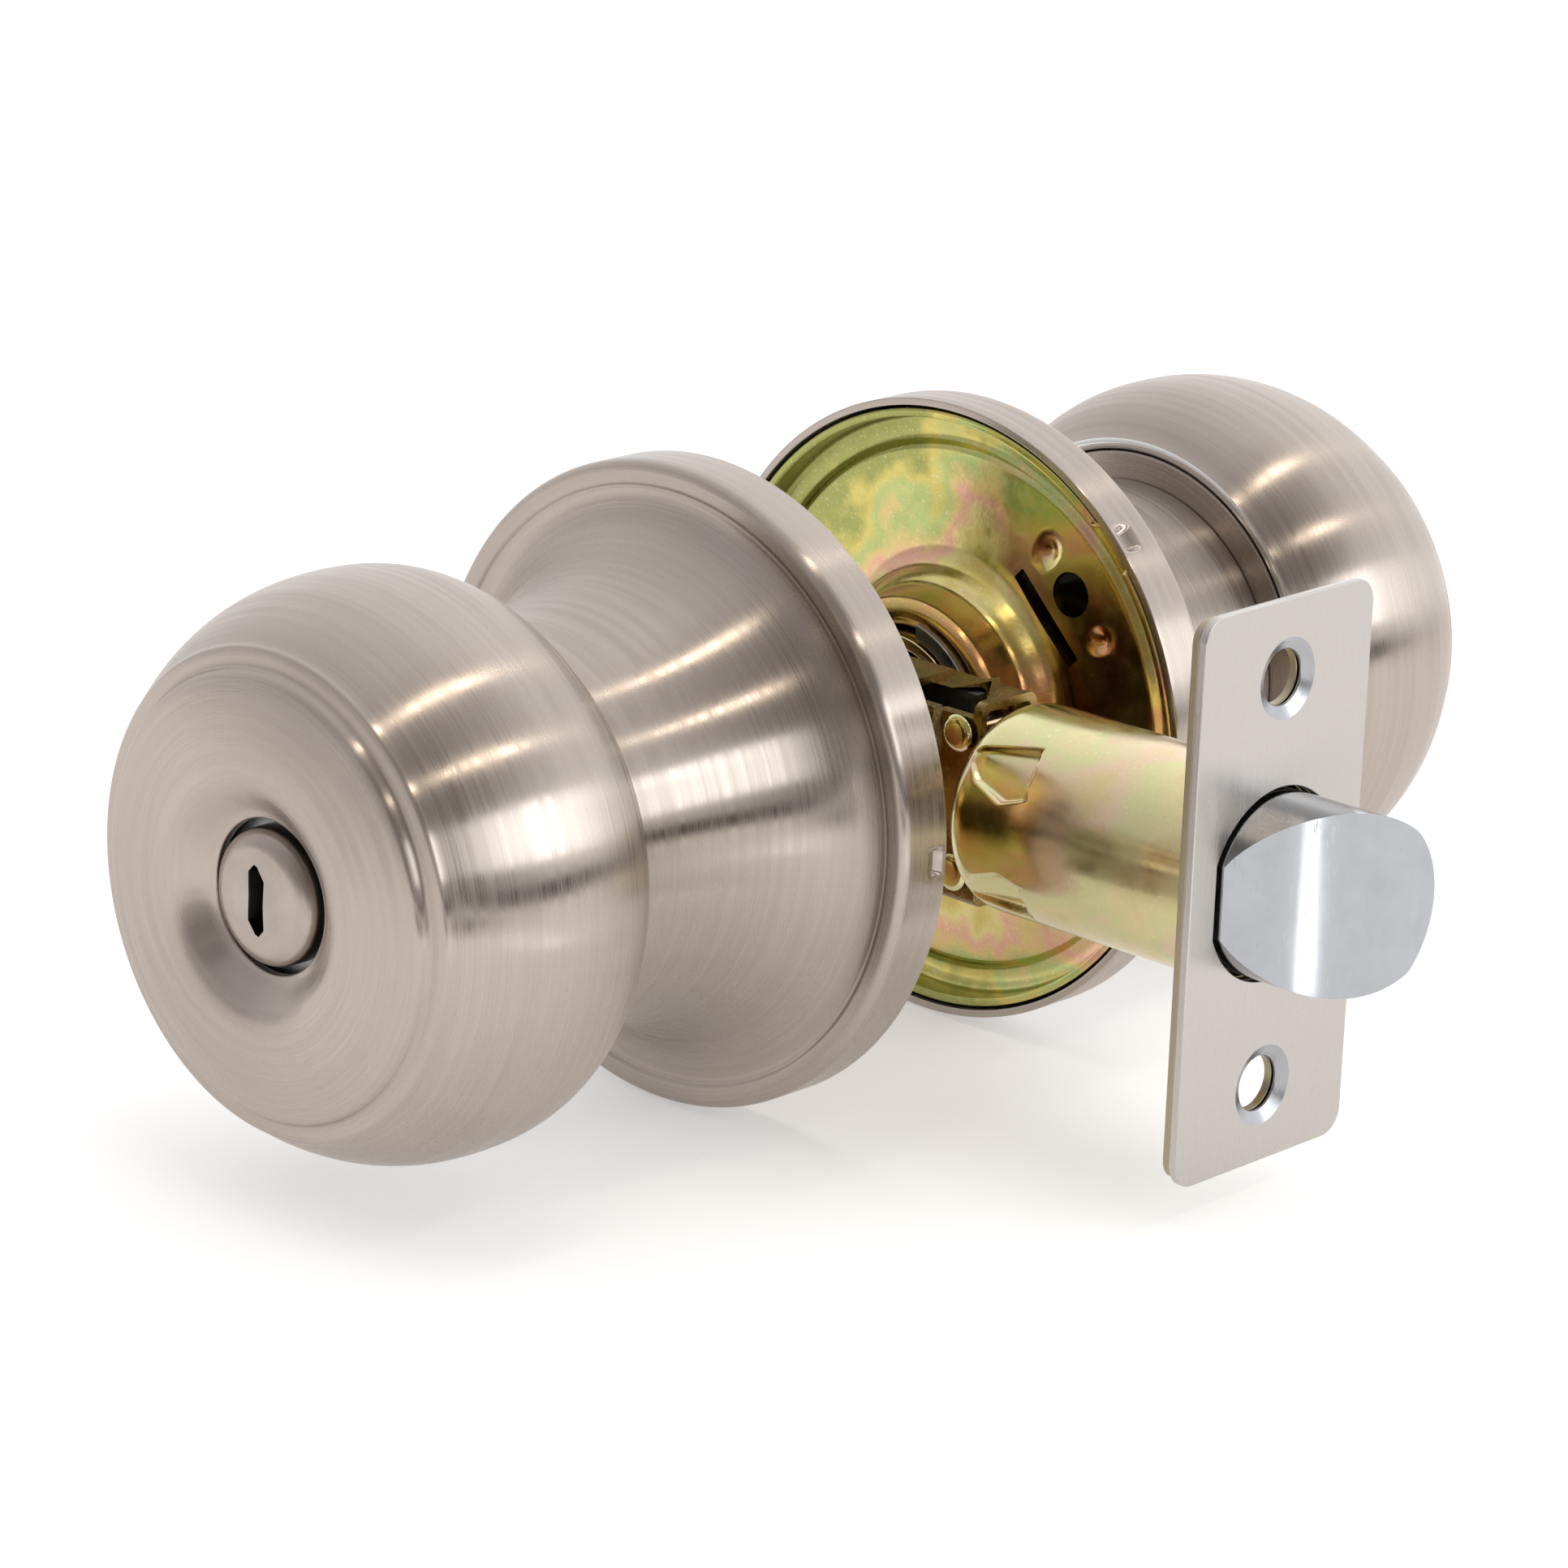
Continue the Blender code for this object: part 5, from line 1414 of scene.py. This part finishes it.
def light_world(scene):
    """A soft studio all round: brighter behind, grey above, and the dim room in front."""
    world = bpy.data.worlds.new("studio")
    scene.world = world
    world.use_nodes = True
    sky = world.node_tree
    direction = add_node(sky, "ShaderNodeTexCoord").outputs["Generated"]
    behind = remap(sky, split_axes(sky, direction)[1], -0.75, 0.8, 0.0, 1.0)
    ceiling = zone(sky, direction, (0.5, 0.0, 0.87), 0.8, 0.97)
    room = zone(sky, direction, (0.66, -0.68, 0.3), 0.5, 0.93)
    band = mix_colour(sky, behind, (0.6, 0.59, 0.6), (1.5, 1.52, 1.54))
    band = mix_colour(sky, ceiling, band, (0.66, 0.64, 0.64))
    band = mix_colour(sky, room, band, (0.29, 0.27, 0.26))
    sky.links.new(band, sky.nodes["Background"].inputs["Color"])


def add_camera(scene):
    """The camera that looks at the set from above the faceplate's outside corner."""
    azimuth, elevation, roll = (math.radians(a) for a in CAMERA_TURNS)
    back = Vector((math.sin(azimuth) * math.cos(elevation), -math.cos(azimuth) * math.cos(elevation),
                   math.sin(elevation)))
    right = Vector((math.cos(azimuth), math.sin(azimuth), 0.0))
    up = back.cross(right)
    side = right * math.cos(roll) + up * math.sin(roll)
    top = up * math.cos(roll) - right * math.sin(roll)
    data = bpy.data.cameras.new("camera")
    data.sensor_width = CAMERA_SENSOR
    data.lens = CAMERA_LENS
    data.clip_start = 0.02
    data.clip_end = 50.0
    camera = bpy.data.objects.new("camera", data)
    scene.collection.objects.link(camera)
    position = Matrix.Translation(Vector(CAMERA_PLACE) * MM)
    camera.matrix_world = position @ Matrix((side, top, back)).transposed().to_4x4()
    scene.camera = camera


class KNOBSET_OT_studio(bpy.types.Operator):
    """Add the floor, lights and camera"""

    bl_idname = "knobset.studio"
    bl_label = "Add Studio"

    def execute(self, context):
        scene = context.scene
        add_floor(tuple(scene.knob_finishes.floor))
        add_lamps()
        add_card("dark_card_right", (0.9, -0.42, -0.033), (0.905, 0.9, 0.07))
        add_card("dark_card_front", (0.16, -0.5, -0.033), (0.42, -0.16, -0.031))
        light_world(scene)
        add_camera(scene)
        scene.view_settings.view_transform = "Standard"
        return {"FINISHED"}


class KNOBSET_PT_panel(bpy.types.Panel):
    """Lists the sizes, finishes and pieces of the knob set"""

    bl_idname = "KNOBSET_PT_panel"
    bl_label = "Door Knob"
    bl_space_type = "VIEW_3D"
    bl_region_type = "UI"
    bl_category = "Door Knob"

    def draw(self, context):
        for group in (context.scene.knob_sizes, context.scene.knob_finishes):
            for name in group.__annotations__:
                self.layout.prop(group, name)
        for step in STEPS:
            self.layout.operator(step.bl_idname)


STEPS = (
    KNOBSET_OT_finishes, KNOBSET_OT_knobs, KNOBSET_OT_roses, KNOBSET_OT_plates, KNOBSET_OT_privacy,
    KNOBSET_OT_shanks, KNOBSET_OT_latch_body, KNOBSET_OT_faceplate, KNOBSET_OT_bolt, KNOBSET_OT_studio,
)
CLASSES = (KnobSizes, FinishColours) + STEPS + (KNOBSET_PT_panel,)


def register():
    """Register the classes and their settings."""
    for cls in CLASSES:
        bpy.utils.register_class(cls)
    bpy.types.Scene.knob_sizes = bpy.props.PointerProperty(type=KnobSizes)
    bpy.types.Scene.knob_finishes = bpy.props.PointerProperty(type=FinishColours)


def unregister():
    """Remove the settings and the classes."""
    del bpy.types.Scene.knob_finishes
    del bpy.types.Scene.knob_sizes
    for cls in reversed(CLASSES):
        bpy.utils.unregister_class(cls)


def main():
    """Build every piece in order."""
    register()
    for step in STEPS:
        group, name = step.bl_idname.split(".")
        getattr(getattr(bpy.ops, group), name)()


if __name__ == "__main__":
    main()
